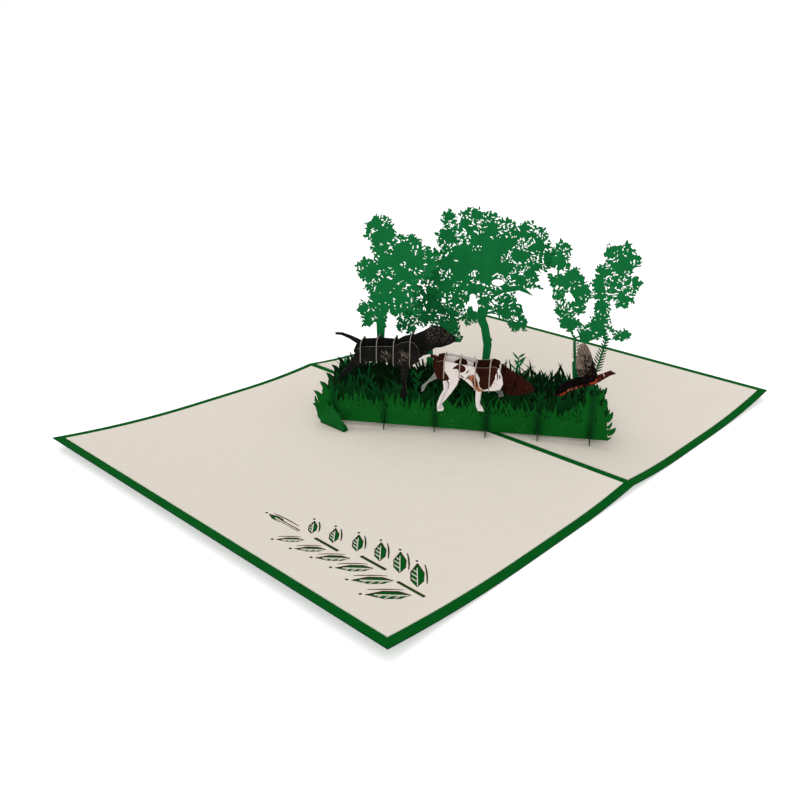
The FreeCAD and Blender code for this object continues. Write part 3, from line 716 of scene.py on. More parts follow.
def within(triangles, count, keep, rim, near, far, chance):
    """Random points inside, between near and far from the rim points."""
    spread = np.cross(triangles[:, 1] - triangles[:, 0], triangles[:, 2] - triangles[:, 0])
    pick = chance.choice(len(triangles), count, p=np.abs(spread) / np.abs(spread).sum())
    weight = chance.dirichlet((1, 1, 1), count)
    spots = (triangles[pick] * weight[:, :, None]).sum(1)
    spots = spots[keep(spots)]
    gap = np.sqrt(((spots[:, None] - rim[None]) ** 2).sum(2).min(1))
    return spots[(gap > near) & (gap < far)]


def leafy(triangles, keep, seed, slits, far):
    """Rim leaves, bites between them and small slits of light for one zone of a sheet. The
    slits come in drifts, where the product of two slow sines is above DRIFT_LEAST."""
    chance = np.random.default_rng(seed)
    spots, outward = along_rim(triangles, RIM_SPACING, keep, chance)
    count = len(spots)
    inward = np.stack([np.cos(outward), np.sin(outward)], 1) * LEAF_INSET
    rim = leaves(spots - inward, outward + chance.normal(0, LEAF_SWAY, count),
                 0.7 + 1.1 * chance.random(count) ** 1.3, chance.uniform(*LEAF_WIDTHS, count))
    bitten = chance.random(count) < BITE_SHARE
    bites = leaves((spots + inward * BITE_DEPTH)[bitten],
                   (outward + math.pi + chance.normal(0, BITE_SWAY, count))[bitten],
                   chance.uniform(*BITE_LENGTHS, count)[bitten],
                   chance.uniform(*BITE_WIDTHS, count)[bitten])
    gaps = within(triangles, slits, keep, spots, SLIT_INSET, far, chance)
    drift = np.sin(gaps * DRIFT_RATES + seed).prod(1)
    gaps = gaps[drift > DRIFT_LEAST]
    count = len(gaps)
    cuts = leaves(gaps, chance.uniform(0, 2 * math.pi, count),
                  0.45 + 1.7 * chance.random(count) ** 3, chance.uniform(*SLIT_WIDTHS, count))
    return list(rim), list(cuts) + list(bites)


def cloud(middle, reach, count, seed):
    """Leaves scattered round a point by a normal spread, for an airy clump."""
    chance = np.random.default_rng(seed)
    spots = chance.normal(0, 0.5, (count, 2)) * reach + middle
    return list(leaves(spots, chance.uniform(0, 2 * math.pi, count),
                       chance.uniform(0.9, 1.9, count), chance.uniform(0.6, 1.1, count)))


def grass(start, end, root, low, high, width, spacing, seed):
    """Blades from start to end of a strip. About seven in ten are curled, and all lean."""
    chance = np.random.default_rng(seed)
    count = int((end - start) / spacing)
    at = np.linspace(start + 1, end - 1, count) + chance.uniform(-0.5, 0.5, count)
    height = low + (high - low) * chance.random(count) ** 1.5
    curl = chance.normal(0, 0.5, count).clip(-0.7, 0.7) * (chance.random(count) < 0.7)
    lean = chance.normal(0, 0.25, count).clip(-0.5, 0.5)
    return list(blades(np.stack([at, np.full(count, root)], 1), height, lean * height,
                       curl * height, chance.uniform(0.65, 1.3, count) * width))


def wisps(start, end, root, low, high, count, seed):
    """Long thin blades that arch well over."""
    chance = np.random.default_rng(seed)
    height = chance.uniform(low, high, count)
    return list(blades(np.stack([chance.uniform(start, end, count), np.full(count, root)], 1),
                       height, chance.normal(0, 0.2, count).clip(-0.3, 0.3) * height,
                       chance.normal(0, 0.4, count).clip(-0.6, 0.6) * height,
                       chance.uniform(0.7, 1.1, count)))


def hooks(rows):
    """Broad curved leaves from rows of (a0, z0, a1, z1, width, bow): from root to tip the
    middle line bows aside by bow times 4 t (1 - t), and the half width is half the width times
    (1 - t) to the power 0.6."""
    rows = np.array(rows, float)
    t = np.array([0, 0.2, 0.4, 0.6, 0.8, 1.0])
    root, run = rows[:, None, :2], (rows[:, 2:4] - rows[:, :2])[:, None]
    side = left_of(unit(run))
    middle = root + run * t[:, None] + side * (rows[:, 5:6] * 4 * t * (1 - t))[..., None]
    half = side * (rows[:, 4:5] / 2 * (1 - t) ** 0.6)[..., None]
    return list(np.concatenate([middle + half, (middle - half)[:, -2::-1]], 1))


print("grass over 10 mm:", len(grass(0, 10, 0, 1, 2, 1, 1, 0)), "blades")

# %% [markdown]
# ## Grass strips and trees
# The five long strips cross the fold at a turn. Each keeps its packed outline and gains finer
# blades, and the crowns gain leaves. Light hardly reaches between the strips, so on the back
# three strips the grass is a patch of painted shade, a far darker green than the crowns on
# the same sheets; the second strip's whole paper is a darker green as painted shade too.

# %% Long strips
SLAT_LOW = 3.305
GRASS_ROOT = SLAT_LOW + 7.6
BASE_TOP = SLAT_LOW + 8
LEFT_MARGIN, RIGHT_MARGIN = 5.5, 10
ROOT_SINK = 0.6
STRIP_PAST, STRIP_RISE = 9, 1.5
OPEN = 999
TRUNK_AT, TRUNK_HALF, TRUNK_TOP, LOBES_LOW = 12.5, 3.4, 46, 31


def long_strip(node, tones, seed, grown, crowns=(), extra=(), gaps=(), late=(), shade=(),
               specks=()):
    """Replace a long slat with its finer twin. tones holds the papers of the crown, the grass
    and the specks, grown the blades' lowest and highest rise, width and spacing, and crowns
    rows of a zone, its number of slits and how deep they reach. shade outlines take the
    grass paper too, and late ones are solid also where a gap lies. Where the grass paper is
    darker than the crown paper, the grass band and the shade outlines are painted shade."""
    triangles, level = front_of(node)
    flat = triangles.reshape(-1, 2)
    base = flat[flat[:, 1] < BASE_TOP]
    left, right = base[:, 0].min(), base[:, 0].max()
    tufts = grass(left + LEFT_MARGIN, right - RIGHT_MARGIN, GRASS_ROOT - ROOT_SINK, *grown,
                  seed)
    solid, holes = list(triangles) + tufts + list(extra), list(gaps)
    for order, (zone, slits, far) in enumerate(crowns):
        rim, cuts = leafy(triangles, zone, seed + 50 + 10 * order, slits, far)
        solid += rim
        holes += cuts
    # The grass band, the tufts and the shade outlines take the grass paper, painted shade on the
    # back three strips.
    near, far, top = left - STRIP_PAST, right + STRIP_PAST, GRASS_ROOT + STRIP_RISE
    strip = [(near, -1), (far, -1), (far, top), (near, top)]
    patches = [(strip, 1)] + [(tuft, 1) for tuft in tufts + list(shade)]
    patches += [(speck, 2) for speck in specks]
    standing_sheet(node, solid, level, tones, holes=holes, patches=patches, late=late)


def zone(least, most, low):
    """Test for the points of a sheet between two places along it and above a height."""
    def test(p):
        """True for each point in the zone."""
        return (p[:, 0] > least) & (p[:, 0] < most) & (p[:, 1] > low)

    return test


def tall_tree(p):
    """Dense left part of the fourth strip's crown, and its low lobes, beside the trunk."""
    trunk = (np.abs(p[:, 0] - TRUNK_AT) < TRUNK_HALF) & (p[:, 1] < TRUNK_TOP)
    return (p[:, 1] > LOBES_LOW) & ~trunk & ~airy_side(p)


left_tree, right_tree = zone(-OPEN, 0, 38), zone(35, OPEN, 39)
airy_side, dark_tree = zone(10, OPEN, 58), zone(-OPEN, 8, 27.5)
print("grass blades rise from", round(GRASS_ROOT, 2), "mm")

# %% Ends, specks, ferns and plants
def slits_in_grass(start, end, count, seed):
    """Narrow upright gaps at the roots of the front blades."""
    chance = np.random.default_rng(seed)
    spots = np.stack([chance.uniform(start, end, count),
                      chance.uniform(GRASS_ROOT - 1.2, GRASS_ROOT + 1.4, count)], 1)
    return list(leaves(spots, chance.normal(math.pi / 2, 0.45, count),
                       chance.uniform(0.9, 2.4, count), chance.uniform(0.25, 0.5, count)))


def oval(a, z, half_a, half_z):
    """Closed outline at (a + half_a cos t, z + half_z sin t) for t once round."""
    t = np.linspace(0, 2 * math.pi, 14, endpoint=False)
    return np.stack([a + half_a * np.cos(t), z + half_z * np.sin(t)], 1)


LEFT_END = [[(-53, 7), (-52.8, 9.0), (-51.6, 12.0), (-50.2, 14.4), (-48.2, 16.0),
             (-46.2, 16.2), (-44.8, 14), (-43.6, 10), (-43.6, 7)]]
LEFT_HOOKS = hooks([(-51.0, 11.4, -53.9, 15.6, 3.0, -0.8),
                    (-49.0, 14.6, -51.2, 19.6, 2.8, -0.9),
                    (-52.0, 7.6, -54.4, 9.8, 2.4, -0.6),
                    (-46.6, 15.2, -46.8, 20.6, 2.4, -0.5),
                    (-44.8, 12.6, -43.2, 17.0, 2.0, 0.5)])
left_corner = [(-55, 7.4), (-52.7, 8.2), (-51.9, 10.2), (-51.2, 12.4), (-55, 14)]
front_bush = [[(54.2, 9), (54.8, 14), (56.0, 18.5), (57.6, 21.4), (59.2, 22.2), (60.5, 21.4),
               (61.0, 19.4), (62.4, 17.0), (63.6, 15.0), (64.6, 12.4), (65.0, 10.2), (65.2, 7)]]
front_hooks = hooks([(65.4, 6.6, 69.0, 9.2, 3.2, -0.7), (64.4, 11.8, 67.0, 16.0, 3.0, -0.6),
                     (62.4, 16.2, 64.0, 21.2, 2.8, -0.6), (60.0, 20.6, 62.6, 24.9, 2.8, -0.7),
                     (65.8, 3.9, 67.6, 4.9, 1.2, -0.2), (57.4, 19.6, 56.6, 24.4, 2.2, 0.5),
                     (55.4, 15.6, 53.6, 19.8, 2.0, 0.4), (65.6, 8.6, 67.2, 11.6, 1.6, -0.3)])
front_corner = [(68, 3.0), (66.45, 3.3), (66.0, 5.2), (65.5, 8.0), (65.2, 12), (68, 12)]
second_bush = [[(54.5, 9), (55, 13.3), (56.8, 16.4), (59, 18.2), (60.4, 17.6), (61.7, 16),
                (62.4, 13.2), (63.4, 11.6), (64.4, 9)]]
second_hooks = hooks([(61.4, 13.4, 64.9, 17.0, 2.6, -0.7), (59.0, 16.6, 61.8, 20.6, 2.6, -0.6),
                      (56.6, 15.4, 56.4, 20.6, 2.2, 0.4), (63.4, 9.2, 66.8, 12.2, 2.6, -0.6)])
speck_chance = np.random.default_rng(90)
specks = list(leaves(np.stack([speck_chance.uniform(-40, 64, 16),
                               speck_chance.uniform(4.2, 10, 16)], 1),
                     speck_chance.uniform(0.6, 2.2, 16), speck_chance.uniform(0.25, 0.7, 16),
                     speck_chance.uniform(0.12, 0.26, 16)))


def fern(path, length, spacing, thick):
    """Leaflets on both sides of a stem, each about 50 degrees from its direction."""
    path = np.array(path, float)
    run = np.diff(path, axis=0)
    reach = np.concatenate([[0], np.cumsum(np.linalg.norm(run, axis=1))])
    at = np.arange(0.5, reach[-1], spacing)
    spots = np.stack([np.interp(at, reach, path[:, 0]), np.interp(at, reach, path[:, 1])], 1)
    part = np.minimum(np.searchsorted(reach, at) - 1, len(run) - 1)
    way = np.arctan2(run[part, 1], run[part, 0])
    size = length * (1 - 0.5 * at / reach[-1])
    both = [leaves(spots, way + side, size, np.full(len(at), thick)) for side in (0.9, -0.9)]
    return list(both[0]) + list(both[1])


def gathered(make, *rows):
    """All outlines that a function makes from rows of its values."""
    return list(chain.from_iterable(make(*row) for row in rows))


def beside_stem(path, inner, outer):
    """Two strips along a stem, from inner to outer on each side, that slim it."""
    path = np.array(path, float)
    side = left_of(unit(np.diff(path, axis=0)))
    return [np.stack([a + way * n * inner, b + way * n * inner, b + way * n * outer,
                      a + way * n * outer])
            for a, b, n in zip(path[:-1], path[1:], side) for way in (1, -1)]


def plant(foot, top, length, seed):
    """Upright stem with a few pointed leaves of uneven size on alternate sides."""
    chance = np.random.default_rng(seed)
    (a0, z0), (a1, z1) = foot, top
    stem = np.array([(a0 - 0.4, z0), (a0 + 0.4, z0), (a1 + 0.2, z1), (a1 - 0.2, z1)])
    part = np.array([0.3, 0.45, 0.6, 0.72, 0.85, 0.97])
    spots = np.array(foot) + part[:, None] * (np.array(top) - np.array(foot))
    way = math.atan2(z1 - z0, a1 - a0) + np.array([1, -1] * 3) * chance.uniform(0.3, 0.95, 6)
    return [stem] + list(leaves(spots, way, length * chance.uniform(0.55, 1.15, 6),
                                chance.uniform(0.7, 1.15, 6)))


print("hooks at the left end:", len(LEFT_HOOKS))

# %% Front and second strips
long_strip("grass_slat_front", [FRONT_GREEN, FRONT_GREEN, FIBRE_SPECK], 1, (1.6, 8.0, 1.3, 0.9),
           extra=front_bush + LEFT_END + wisps(-40, 54, GRASS_ROOT - 1, 6.5, 11, 26, 91),
           gaps=slits_in_grass(-36, 62, 110, 9) + [front_corner, left_corner],
           late=front_hooks + LEFT_HOOKS, specks=specks)
plants = gathered(plant, ((-29.5, 9), (-32.0, 17.8), 4.6, 1), ((-13.2, 12), (-12.3, 22.0), 5.0, 2),
                  ((6.8, 10), (6.5, 17.8), 4.4, 3), ((16.2, 10), (16.6, 17), 4.0, 4),
                  ((27.2, 11), (27.9, 18.6), 5.0, 5), ((-21, 10), (-20, 16.5), 3.8, 6),
                  ((37, 10), (38.4, 16.4), 4.2, 7), ((47, 10), (45.8, 17.4), 4.2, 8))
long_strip("grass_slat_second", [SECOND_STRIP_SHADE_GREEN, SECOND_STRIP_SHADE_GREEN, PLANT_GREEN], 2,
           (3.0, 10.0, 1.4, 0.85),
           extra=LEFT_END + second_bush + plants + wisps(-42, 51, GRASS_ROOT - 1, 7, 13, 40, 92),
           late=LEFT_HOOKS + second_hooks, specks=plants)

# %% Third strip, with the left and the right tree
left_stem = [(51.6, 28.5), (50.4, 38.8), (48.9, 41.5)]
right_stem = [(60.2, 22.5), (61.2, 27.7), (63.3, 38.3)]
leaflets = gathered(fern, ([(59.9, 24), (61.3, 30), (63.5, 39.5)], 3.6, 1.3, 0.6),
                    ([(52.2, 29), (51.0, 39.5)], 2.4, 1.3, 0.42),
                    ([(53.2, 22), (52.2, 29)], 1.4, 2.2, 0.45))
crowns = gathered(cloud, ((-16.5, 59.5), 6, 190, 71), ((-19.5, 51), 6, 150, 72),
                  ((-16.0, 45), 5, 70, 73), ((-11, 66), 3, 40, 74),
                  ((44.6, 61.0), 4.0, 110, 81), ((48.6, 61.0), 3.6, 90, 82),
                  ((42.6, 56.2), 2.6, 55, 83), ((52.4, 57.0), 2.4, 40, 84),
                  ((60.6, 58.8), 2.6, 40, 85), ((40.8, 62.6), 3.0, 70, 86))
twig = [(42.0, 58.2), (45.4, 54.0), (47.9, 50.4), (49.9, 42.0), (49.1, 42.0), (47.2, 50.0),
        (44.8, 53.4), (41.7, 57.8)]
# Painted shade: the left trunk's foot takes the dark grass paper below the dog's back.
left_trunk_painted_shade = [(-34, 10), (-26, 10), (-26, 27), (-34, 27)]
long_strip("tree_slat_third", [CROWN_GREEN, GRASS_SHADE_GREEN, OLIVE], 3, (4, 11.0, 1.6, 0.8),
           [(left_tree, 1300, 5.0), (right_tree, 1500, 3.5)], extra=crowns + [twig] + LEFT_END,
           gaps=beside_stem(left_stem, 0.55, 2.2) + beside_stem(right_stem, 0.35, 3.0),
           late=leaflets + LEFT_HOOKS + wisps(-42, 48, GRASS_ROOT - 1, 8, 14, 30, 93),
           shade=[left_trunk_painted_shade] + LEFT_END + LEFT_HOOKS, specks=leaflets)

# %% Fourth and back strips, with the tall and the small tree
forked_branch = [(13, 53.6), (20, 55.6), (27, 56.7), (35.2, 56.7), (29, 55.4), (32.6, 52.4),
                 (26.4, 54.4), (20, 53.0), (14, 49.5)]
low_lobes = gathered(cloud, ((20.5, 50), 4, 90, 78), ((25, 46.5), 4, 110, 79))
long_strip("tree_slat_fourth", [CROWN_GREEN, GRASS_SHADE_GREEN], 4, (4, 11.0, 1.6, 0.8),
           [(tall_tree, 2200, 8.0), (airy_side, 2600, 8.0)],
           extra=[forked_branch] + low_lobes + LEFT_END,
           gaps=[oval(17.4, 57.2, 2.6, 1.4), oval(7.2, 50.2, 1.3, 1.6)],
           late=LEFT_HOOKS, shade=LEFT_END + LEFT_HOOKS)
small_crown = gathered(cloud, ((-23.5, 33), 3.5, 60, 75), ((-13, 42), 5, 80, 76),
                       ((-6.5, 33), 4, 60, 77))
long_strip("tree_slat_back", [BACK_CROWN_PAINTED_LIGHT, GRASS_SHADE_GREEN], 5, (4, 11.5, 1.6, 0.8),
           [(dark_tree, 900, 3.5)], extra=small_crown + plant((28.0, 12), (28.4, 21.8), 5.4, 9))

# %% Cross strips
CROSS_ROOT = SLAT_LOW + 5
CROSS_GROWN = (1.5, 5.5, 1.1, 1.1)

for number in range(1, 7):
    node = f"cross_slat_{number}"
    triangles, level = front_of(node, CROSS)
    flat = triangles.reshape(-1, 2)
    tufts = grass(flat[:, 0].min() + 1, flat[:, 0].max() - 1, CROSS_ROOT, *CROSS_GROWN,
                  20 + number)
    # The cross strips are all the dark grass green: painted shade between the long strips.
    standing_sheet(node, list(triangles) + tufts, level, [GRASS_SHADE_GREEN], along=CROSS)

# %% [markdown]
# ## The flaps
# Two folded flaps hold the lattice to the panels. Their upright half is cut as a clump of
# broad leaves, and the folded half lies glued on the panel.

# %% Leafy flaps
FLAP_SHIFT = 1.8
RISE_RUN, RISE = [0.2, 1.5, 4.1, 8.3, 14.2, 15.9], [0.15, 3.4, 6.8, 9.2, 8.2, 5.0]
TUFTS, TEETH = (7.5, 15.2, 9), (0.9, 7.2, 7)
TUFT_SINK, TOOTH_SINK = 2.0, 1.0
WALL_END, TIPS_RUN, TIPS_RISE = 14.6, 15.2, 6.6


def leafy_flap(node, side, seed):
    """Upright clump of leaves over a flat foot, in one mesh. The end that no strip hides
    slopes down to the foot in small teeth."""
    low, high = (np.array(c) * 1000 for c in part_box(node))
    along = np.array([0.0, 1.0, 0.0])
    inner, outer = (high[0], low[0]) if side < 0 else (low[0], high[0])
    level = -(outer - side * GAUGE / 2)
    free = low[1] if side < 0 else high[1]
    way = 1 if side < 0 else -1
    base = low[2]

    def at(run):
        """Place along the flap, run mm from its free end."""
        return free + way * (np.asarray(run, float) - FLAP_SHIFT)

    def roots(run, sink):
        """Points at run, so far below the wall's top."""
        return np.stack([at(run), base + np.interp(run, RISE_RUN, RISE) - sink], 1)

    chance = np.random.default_rng(seed)
    wall = np.stack([at(RISE_RUN + [WALL_END]), base + np.array(RISE + RISE[:1])], 1)
    tufts = blades(roots(np.linspace(*TUFTS), TUFT_SINK),
                   chance.uniform(2.6, 4.8, 9), chance.normal(0, 0.8, 9),
                   way * chance.normal(0.8, 1.0, 9), chance.uniform(1.6, 2.6, 9))
    teeth = blades(roots(np.linspace(*TEETH), TOOTH_SINK),
                   chance.uniform(1.4, 2.4, 7), -way * chance.uniform(0.4, 1.2, 7),
                   -way * chance.uniform(0, 0.6, 7), chance.uniform(1.3, 1.9, 7))
    tips = hooks([(0, 0, 2.6, 4.4, 2.6, -0.7), (-0.4, -2.6, 2.2, 0.2, 2.2, -0.5),
                  (-0.4, -4.6, 1.4, -3.0, 1.8, -0.3)])
    ends = [np.stack([at(TIPS_RUN + tip[:, 0]), base + TIPS_RISE + tip[:, 1]], 1)
            for tip in tips]
    points, corners, tone = flat_union([wall] + list(tufts) + list(teeth) + ends)
    spots = points[:, :1] * along + points[:, 1:] * UP + level * np.cross(UP, along)
    middle = (inner + outer) / 2
    foot = np.array([(x, y, base + GAUGE / 2) for x, y in
                     ((middle, at(0.6)), (inner, at(5)), (inner, at(14)), (outer, at(14.6)),
                      (outer, at(0.4)))])
    fan = np.array([(0, 1, 4), (1, 3, 4), (1, 2, 3)])
    corners = np.concatenate([corners, fan + len(spots)])
    tone = np.concatenate([tone, [0, 0, 0]])
    lay_mesh(node, np.concatenate([spots, foot]), corners, tone, [FLAP_GREEN], CUT_EDGE)


leafy_flap("anchor_flap_left", -1, 31)
leafy_flap("anchor_flap_right", 1, 32)

# %% [markdown]
# ## The dogs and the pheasant
# Each dog is three flat panels held apart by curved ribs. The panels are printed, so patches
# of colour are cut into the same triangles; the grey legs and rim of the white dog's far panel
# are painted shade. The imported outline has straight runs, whose corners are rounded here
# with small cusps added or taken away.

# %% Printed papers
BLACK = paper("black_print", (0.0085, 0.0085, 0.0075), 0.35, roughness=0.7, specular=0.04)
FLECK = paper("grey_brown_strokes", (0.070, 0.062, 0.050), 0.5)
PALE_FLECK = paper("pale_flecks", (0.22, 0.18, 0.14), 0.4)
GREY_EDGE = paper("grey_paper_core", (0.28, 0.25, 0.22), 0.2)
BLACK_RIB = paper("black_rib", (0.015, 0.013, 0.012), 0.3, edge=(0.27, 0.245, 0.215))
WHITE = paper("white_print", (0.86, 0.79, 0.77), 0.03)
WHITE_RIB = paper("white_rib", (0.70, 0.63, 0.58), 0.1, edge=(0.42, 0.35, 0.30))
BROWN = paper("brown_print", (0.034, 0.008, 0.0045), 0.4, roughness=0.7, specular=0.03)
DARK = paper("dark_brown_strokes", (0.010, 0.0035, 0.0025), 0.3, specular=0.03)
TAN = paper("tan_print", (0.40, 0.15, 0.07), 0.35)
# Painted shade: grey-green for the white dog's far legs and the far panel's rim.
FAR_LEG_SHADE_GREY = paper("far_leg_painted_shade", (0.36, 0.38, 0.33), 0.15)
LILAC = paper("lilac_shading", (0.62, 0.57, 0.60), 0.06)
PINK = paper("pink_print", (0.62, 0.27, 0.21), 0.15)
RED = paper("orange_red_print", (0.42, 0.045, 0.018), 0.5)
ORANGE = paper("orange_print", (0.38, 0.125, 0.065), 0.6)
BIRD = paper("bird_brown_print", (0.040, 0.008, 0.006), 0.5)
WING = paper("wing_grey_brown", (0.21, 0.16, 0.125), 0.3)
WING_DARK = paper("wing_dark", (0.0045, 0.003, 0.003), 0.4, specular=0.02)
WING_STROKE = paper("wing_brown_strokes", (0.085, 0.060, 0.045), 0.3)
WING_PALE = paper("wing_pale_strokes", (0.38, 0.32, 0.26), 0.2)
print("print colours ready")

# %% Rounded corners, strokes and patches
ROUND_SHARE, ROUND_MOST, ROUND_LEAST = 0.42, 1.8, 1.0
AREA_LEAST = 0.02
SMOOTH_PULL = 0.4


def rounding(triangles):
    """Cusps that round the rim's corners: the corner point and a quadratic curve across it
    that leaves the rim at a share of each edge. Convex ones are holes, hollow ones solid."""
    start, end = rim_of(triangles)
    into, out = rim_order(start, end)
    before, corner, after = start[into], end[into], end[out]
    fits = np.abs(end[into] - start[out]).max(1) < 0.01
    before, corner, after = before[fits], corner[fits], after[fits]
    back, ahead = before - corner, after - corner
    reach = np.minimum(np.linalg.norm(back, axis=1), np.linalg.norm(ahead, axis=1))
    area = ahead[:, 0] * back[:, 1] - ahead[:, 1] * back[:, 0]
    kept = (reach > ROUND_LEAST) & (np.abs(area) > AREA_LEAST)
    size = np.minimum(reach * ROUND_SHARE, ROUND_MOST)[:, None]
    p0, p2 = corner + unit(back) * size, corner + unit(ahead) * size
    t = np.linspace(0, 1, 6)[None, :, None]
    curve = ((1 - t) ** 2 * p0[:, None] + 2 * t * (1 - t) * corner[:, None]
             + t ** 2 * p2[:, None])
    cusps = np.concatenate([corner[:, None], curve], 1)
    return list(cusps[kept & (area < 0)]), list(cusps[kept & (area > 0)])


def smooth(points):
    """Closed cubic Hermite curve through points, whose slopes are SMOOTH_PULL times the line
    between the neighbours."""
    p = np.asarray(points, float)
    before, after, later = np.roll(p, 1, 0), np.roll(p, -1, 0), np.roll(p, -2, 0)
    t = np.linspace(0, 1, 4, endpoint=False)[None, :, None]
    curve = hermite(p[:, None], after[:, None], SMOOTH_PULL * (after - before)[:, None],
                    SMOOTH_PULL * (later - p)[:, None], t)
    return curve.reshape(-1, 2)


def painted(tone, *outlines):
    """Smooth patches of one tone."""
    return [(smooth(outline), tone) for outline in outlines]


def strokes(low, high, count, angle, spread, length, width, tone, seed):
    """Short brush marks in a box of a sheet, about one angle, as patches."""
    chance = np.random.default_rng(seed)
    spots = chance.uniform(low, high, (count, 2))
    marks = leaves(spots, math.radians(angle) + chance.normal(0, spread, count),
                   chance.uniform(0.5, 1.2, count) * length,
                   chance.uniform(0.6, 1.3, count) * width)
    return [(mark, tone) for mark in marks]


def figure_sheet(node, papers, patches, start, edge, trims=()):
    """Replace a flat figure panel by one with rounded corners, trims and printed patches. The
    patches are drawn from the sheet's own start, in mm along the strip."""
    triangles, level = front_of(node)
    holes, solid = rounding(triangles)
    moved = [(np.asarray(outline, float) + (start, 0), tone) for outline, tone in patches]
    standing_sheet(node, list(triangles) + solid, level, papers, holes=holes + list(trims),
                   patches=moved, edge=edge)


print("smooth square:", smooth([(0, 0), (1, 0), (1, 1), (0, 1)]).shape)

# %% Black dog
BLACK_START = -45.5
black_papers = [BLACK, FLECK, PALE_FLECK]
near_marks = gathered(strokes, ((17.0, 27.6), (21.4, 31.6), 26, -50, 0.2, 2.0, 0.15, 2, 1),
                      ((24.4, 27.6), (28.8, 32.0), 30, -48, 0.3, 2.0, 0.15, 2, 2),
                      ((16, 26), (33, 32.5), 70, -40, 0.5, 1.4, 0.10, 1, 3),
                      ((25.2, 14), (30, 27), 34, -85, 0.3, 1.4, 0.14, 1, 4),
                      ((5, 22), (16, 32), 26, 10, 0.5, 1.3, 0.09, 1, 5))
head_marks = gathered(strokes, ((35, 34), (46.5, 42), 170, 0, 1.5, 0.75, 0.22, 1, 6),
                      ((36, 35.5), (45.5, 41.5), 70, 0, 1.5, 0.5, 0.18, 2, 7),
                      ((28, 26), (36, 36), 40, 30, 0.3, 1.5, 0.12, 1, 8))
# The hind leg is slimmer than in its packed outline: this takes the paper under it away.
under_leg = np.array([(10.6, 25.2), (6.6, 22.6), (2.4, 19.6), (-1.2, 16.2), (-3.4, 12.9),
                      (-5.5, 11.0), (-5.5, 5.0), (6, 6), (11.5, 20.5)]) + (BLACK_START, 0)
figure_sheet("black_dog_near_panel", black_papers, near_marks, BLACK_START, GREY_EDGE,
             [under_leg])
figure_sheet("black_dog_middle_panel", black_papers, head_marks, BLACK_START, BLACK)
figure_sheet("black_dog_far_panel", black_papers, near_marks[:120], BLACK_START, BLACK,
             [under_leg])

# %% White and brown dog
WHITE_START = -3.7
white_papers = [WHITE, BROWN, TAN, DARK, LILAC, PINK, FAR_LEG_SHADE_GREY]
near_print = painted(
    1,
    [(-2.5, 34.2), (3.3, 34.4), (3.0, 31.6), (2.9, 28.9), (3.6, 27.7), (4.6, 26.4), (5.3, 24.8),
     (3.2, 24.0), (0.9, 24.0), (-1.3, 24.8), (-2.4, 29.7)],
    [(7.1, 32.4), (7.9, 33.1), (9.4, 33.6), (11.4, 33.2), (12.1, 32.0), (10.7, 31.6),
     (8.9, 31.7), (7.9, 32.1)],
    [(6.4, 29.4), (7.6, 30.6), (9.1, 31.5), (11.1, 30.7), (11.7, 29.3), (10.6, 28.1),
     (9.1, 28.2), (8.4, 29.3)])
near_print += painted(
    2, [(12.6, 25.5), (14.3, 27.5), (15.7, 26.7), (16.6, 24.9), (17.1, 23.0), (17.8, 21.7),
        (19.1, 21.3), (17.9, 20.4), (16.7, 20.7), (15.8, 21.6), (15.1, 22.3), (14.5, 23.9),
        (13.5, 25.1)])
near_print += painted(
    1, [(15.4, 30.1), (16.3, 31.0), (20.3, 31.2), (22.7, 31.9), (24.6, 32.4), (24.2, 30.0),
        (23.5, 27.8), (23.0, 25.7), (22.5, 24.0), (21.2, 22.2), (19.3, 21.4), (17.8, 22.2),
        (17.1, 24.1), (17.4, 25.8), (16.4, 27.8), (15.4, 29.0)])
near_print += painted(5, [(26.1, 28.8), (26.9, 28.6), (27.1, 27.6), (26.4, 27.2), (25.9, 27.8)])
near_print += painted(1, [(25.9, 30.8), (26.6, 30.9), (26.8, 29.9), (26.2, 30.0)],
                      [(24.9, 27.9), (25.4, 28.2), (25.6, 26.8), (25.2, 26.6)])
near_print += painted(
    3,
    [(12.0, 31.3), (13.3, 32.1), (13.3, 31.5), (12.2, 31.0)],
    [(11.8, 28.1), (12.9, 29.4), (12.8, 28.6), (12.1, 27.8)],
    [(11.9, 25.8), (13.5, 27.3), (13.2, 26.4), (12.3, 25.6)],
    [(9.9, 27.2), (10.5, 26.5), (11.4, 25.9), (10.5, 26.0), (9.8, 26.6)],
    [(14.4, 26.0), (14.8, 25.7), (15.4, 22.9), (15.0, 22.8)],
    [(15.6, 26.1), (16.0, 25.7), (16.7, 22.5), (16.2, 22.7)],
    [(23.9, 29.2), (24.4, 29.1), (24.6, 26.2), (24.3, 26.1)],
    [(23.1, 26.8), (23.5, 26.7), (22.7, 24.6), (22.4, 24.6)],
    [(4.0, 25.2), (4.8, 24.3), (5.4, 22.9), (5.2, 20.8), (4.9, 20.7), (5.0, 22.8), (4.4, 24.0)])
near_print += painted(
    4,
    [(3.7, 23.9), (5.0, 23.2), (5.0, 20.5), (3.9, 17.7), (3.0, 15.4), (2.2, 15.3), (2.9, 17.6),
     (4.2, 20.7)],
    [(1.2, 11.5), (2.6, 12.2), (3.4, 14.6), (2.6, 15.4), (1.6, 13.8)],
    [(17.9, 14.0), (18.5, 14.0), (18.4, 20.2), (17.9, 20.2)])
near_print += gathered(strokes, ((15.6, 22), (24.4, 32), 60, 80, 0.3, 1.5, 0.10, 3, 11),
                       ((-1.5, 25), (4.6, 33.5), 26, 80, 0.3, 1.4, 0.10, 3, 12),
                       ((7, 23.5), (15, 31), 26, 35, 0.4, 1.2, 0.09, 2, 13))
brown_rump = ([(-3.1, 36), (2.8, 36), (2.8, 27), (-3.1, 27)], 1)
middle_print = [brown_rump] + painted(
    1, [(6.6, 30.6), (7.5, 31.4), (9.0, 32.3), (11.0, 32.1), (12.0, 30.3), (10.4, 29.1),
        (7.3, 28.9)])
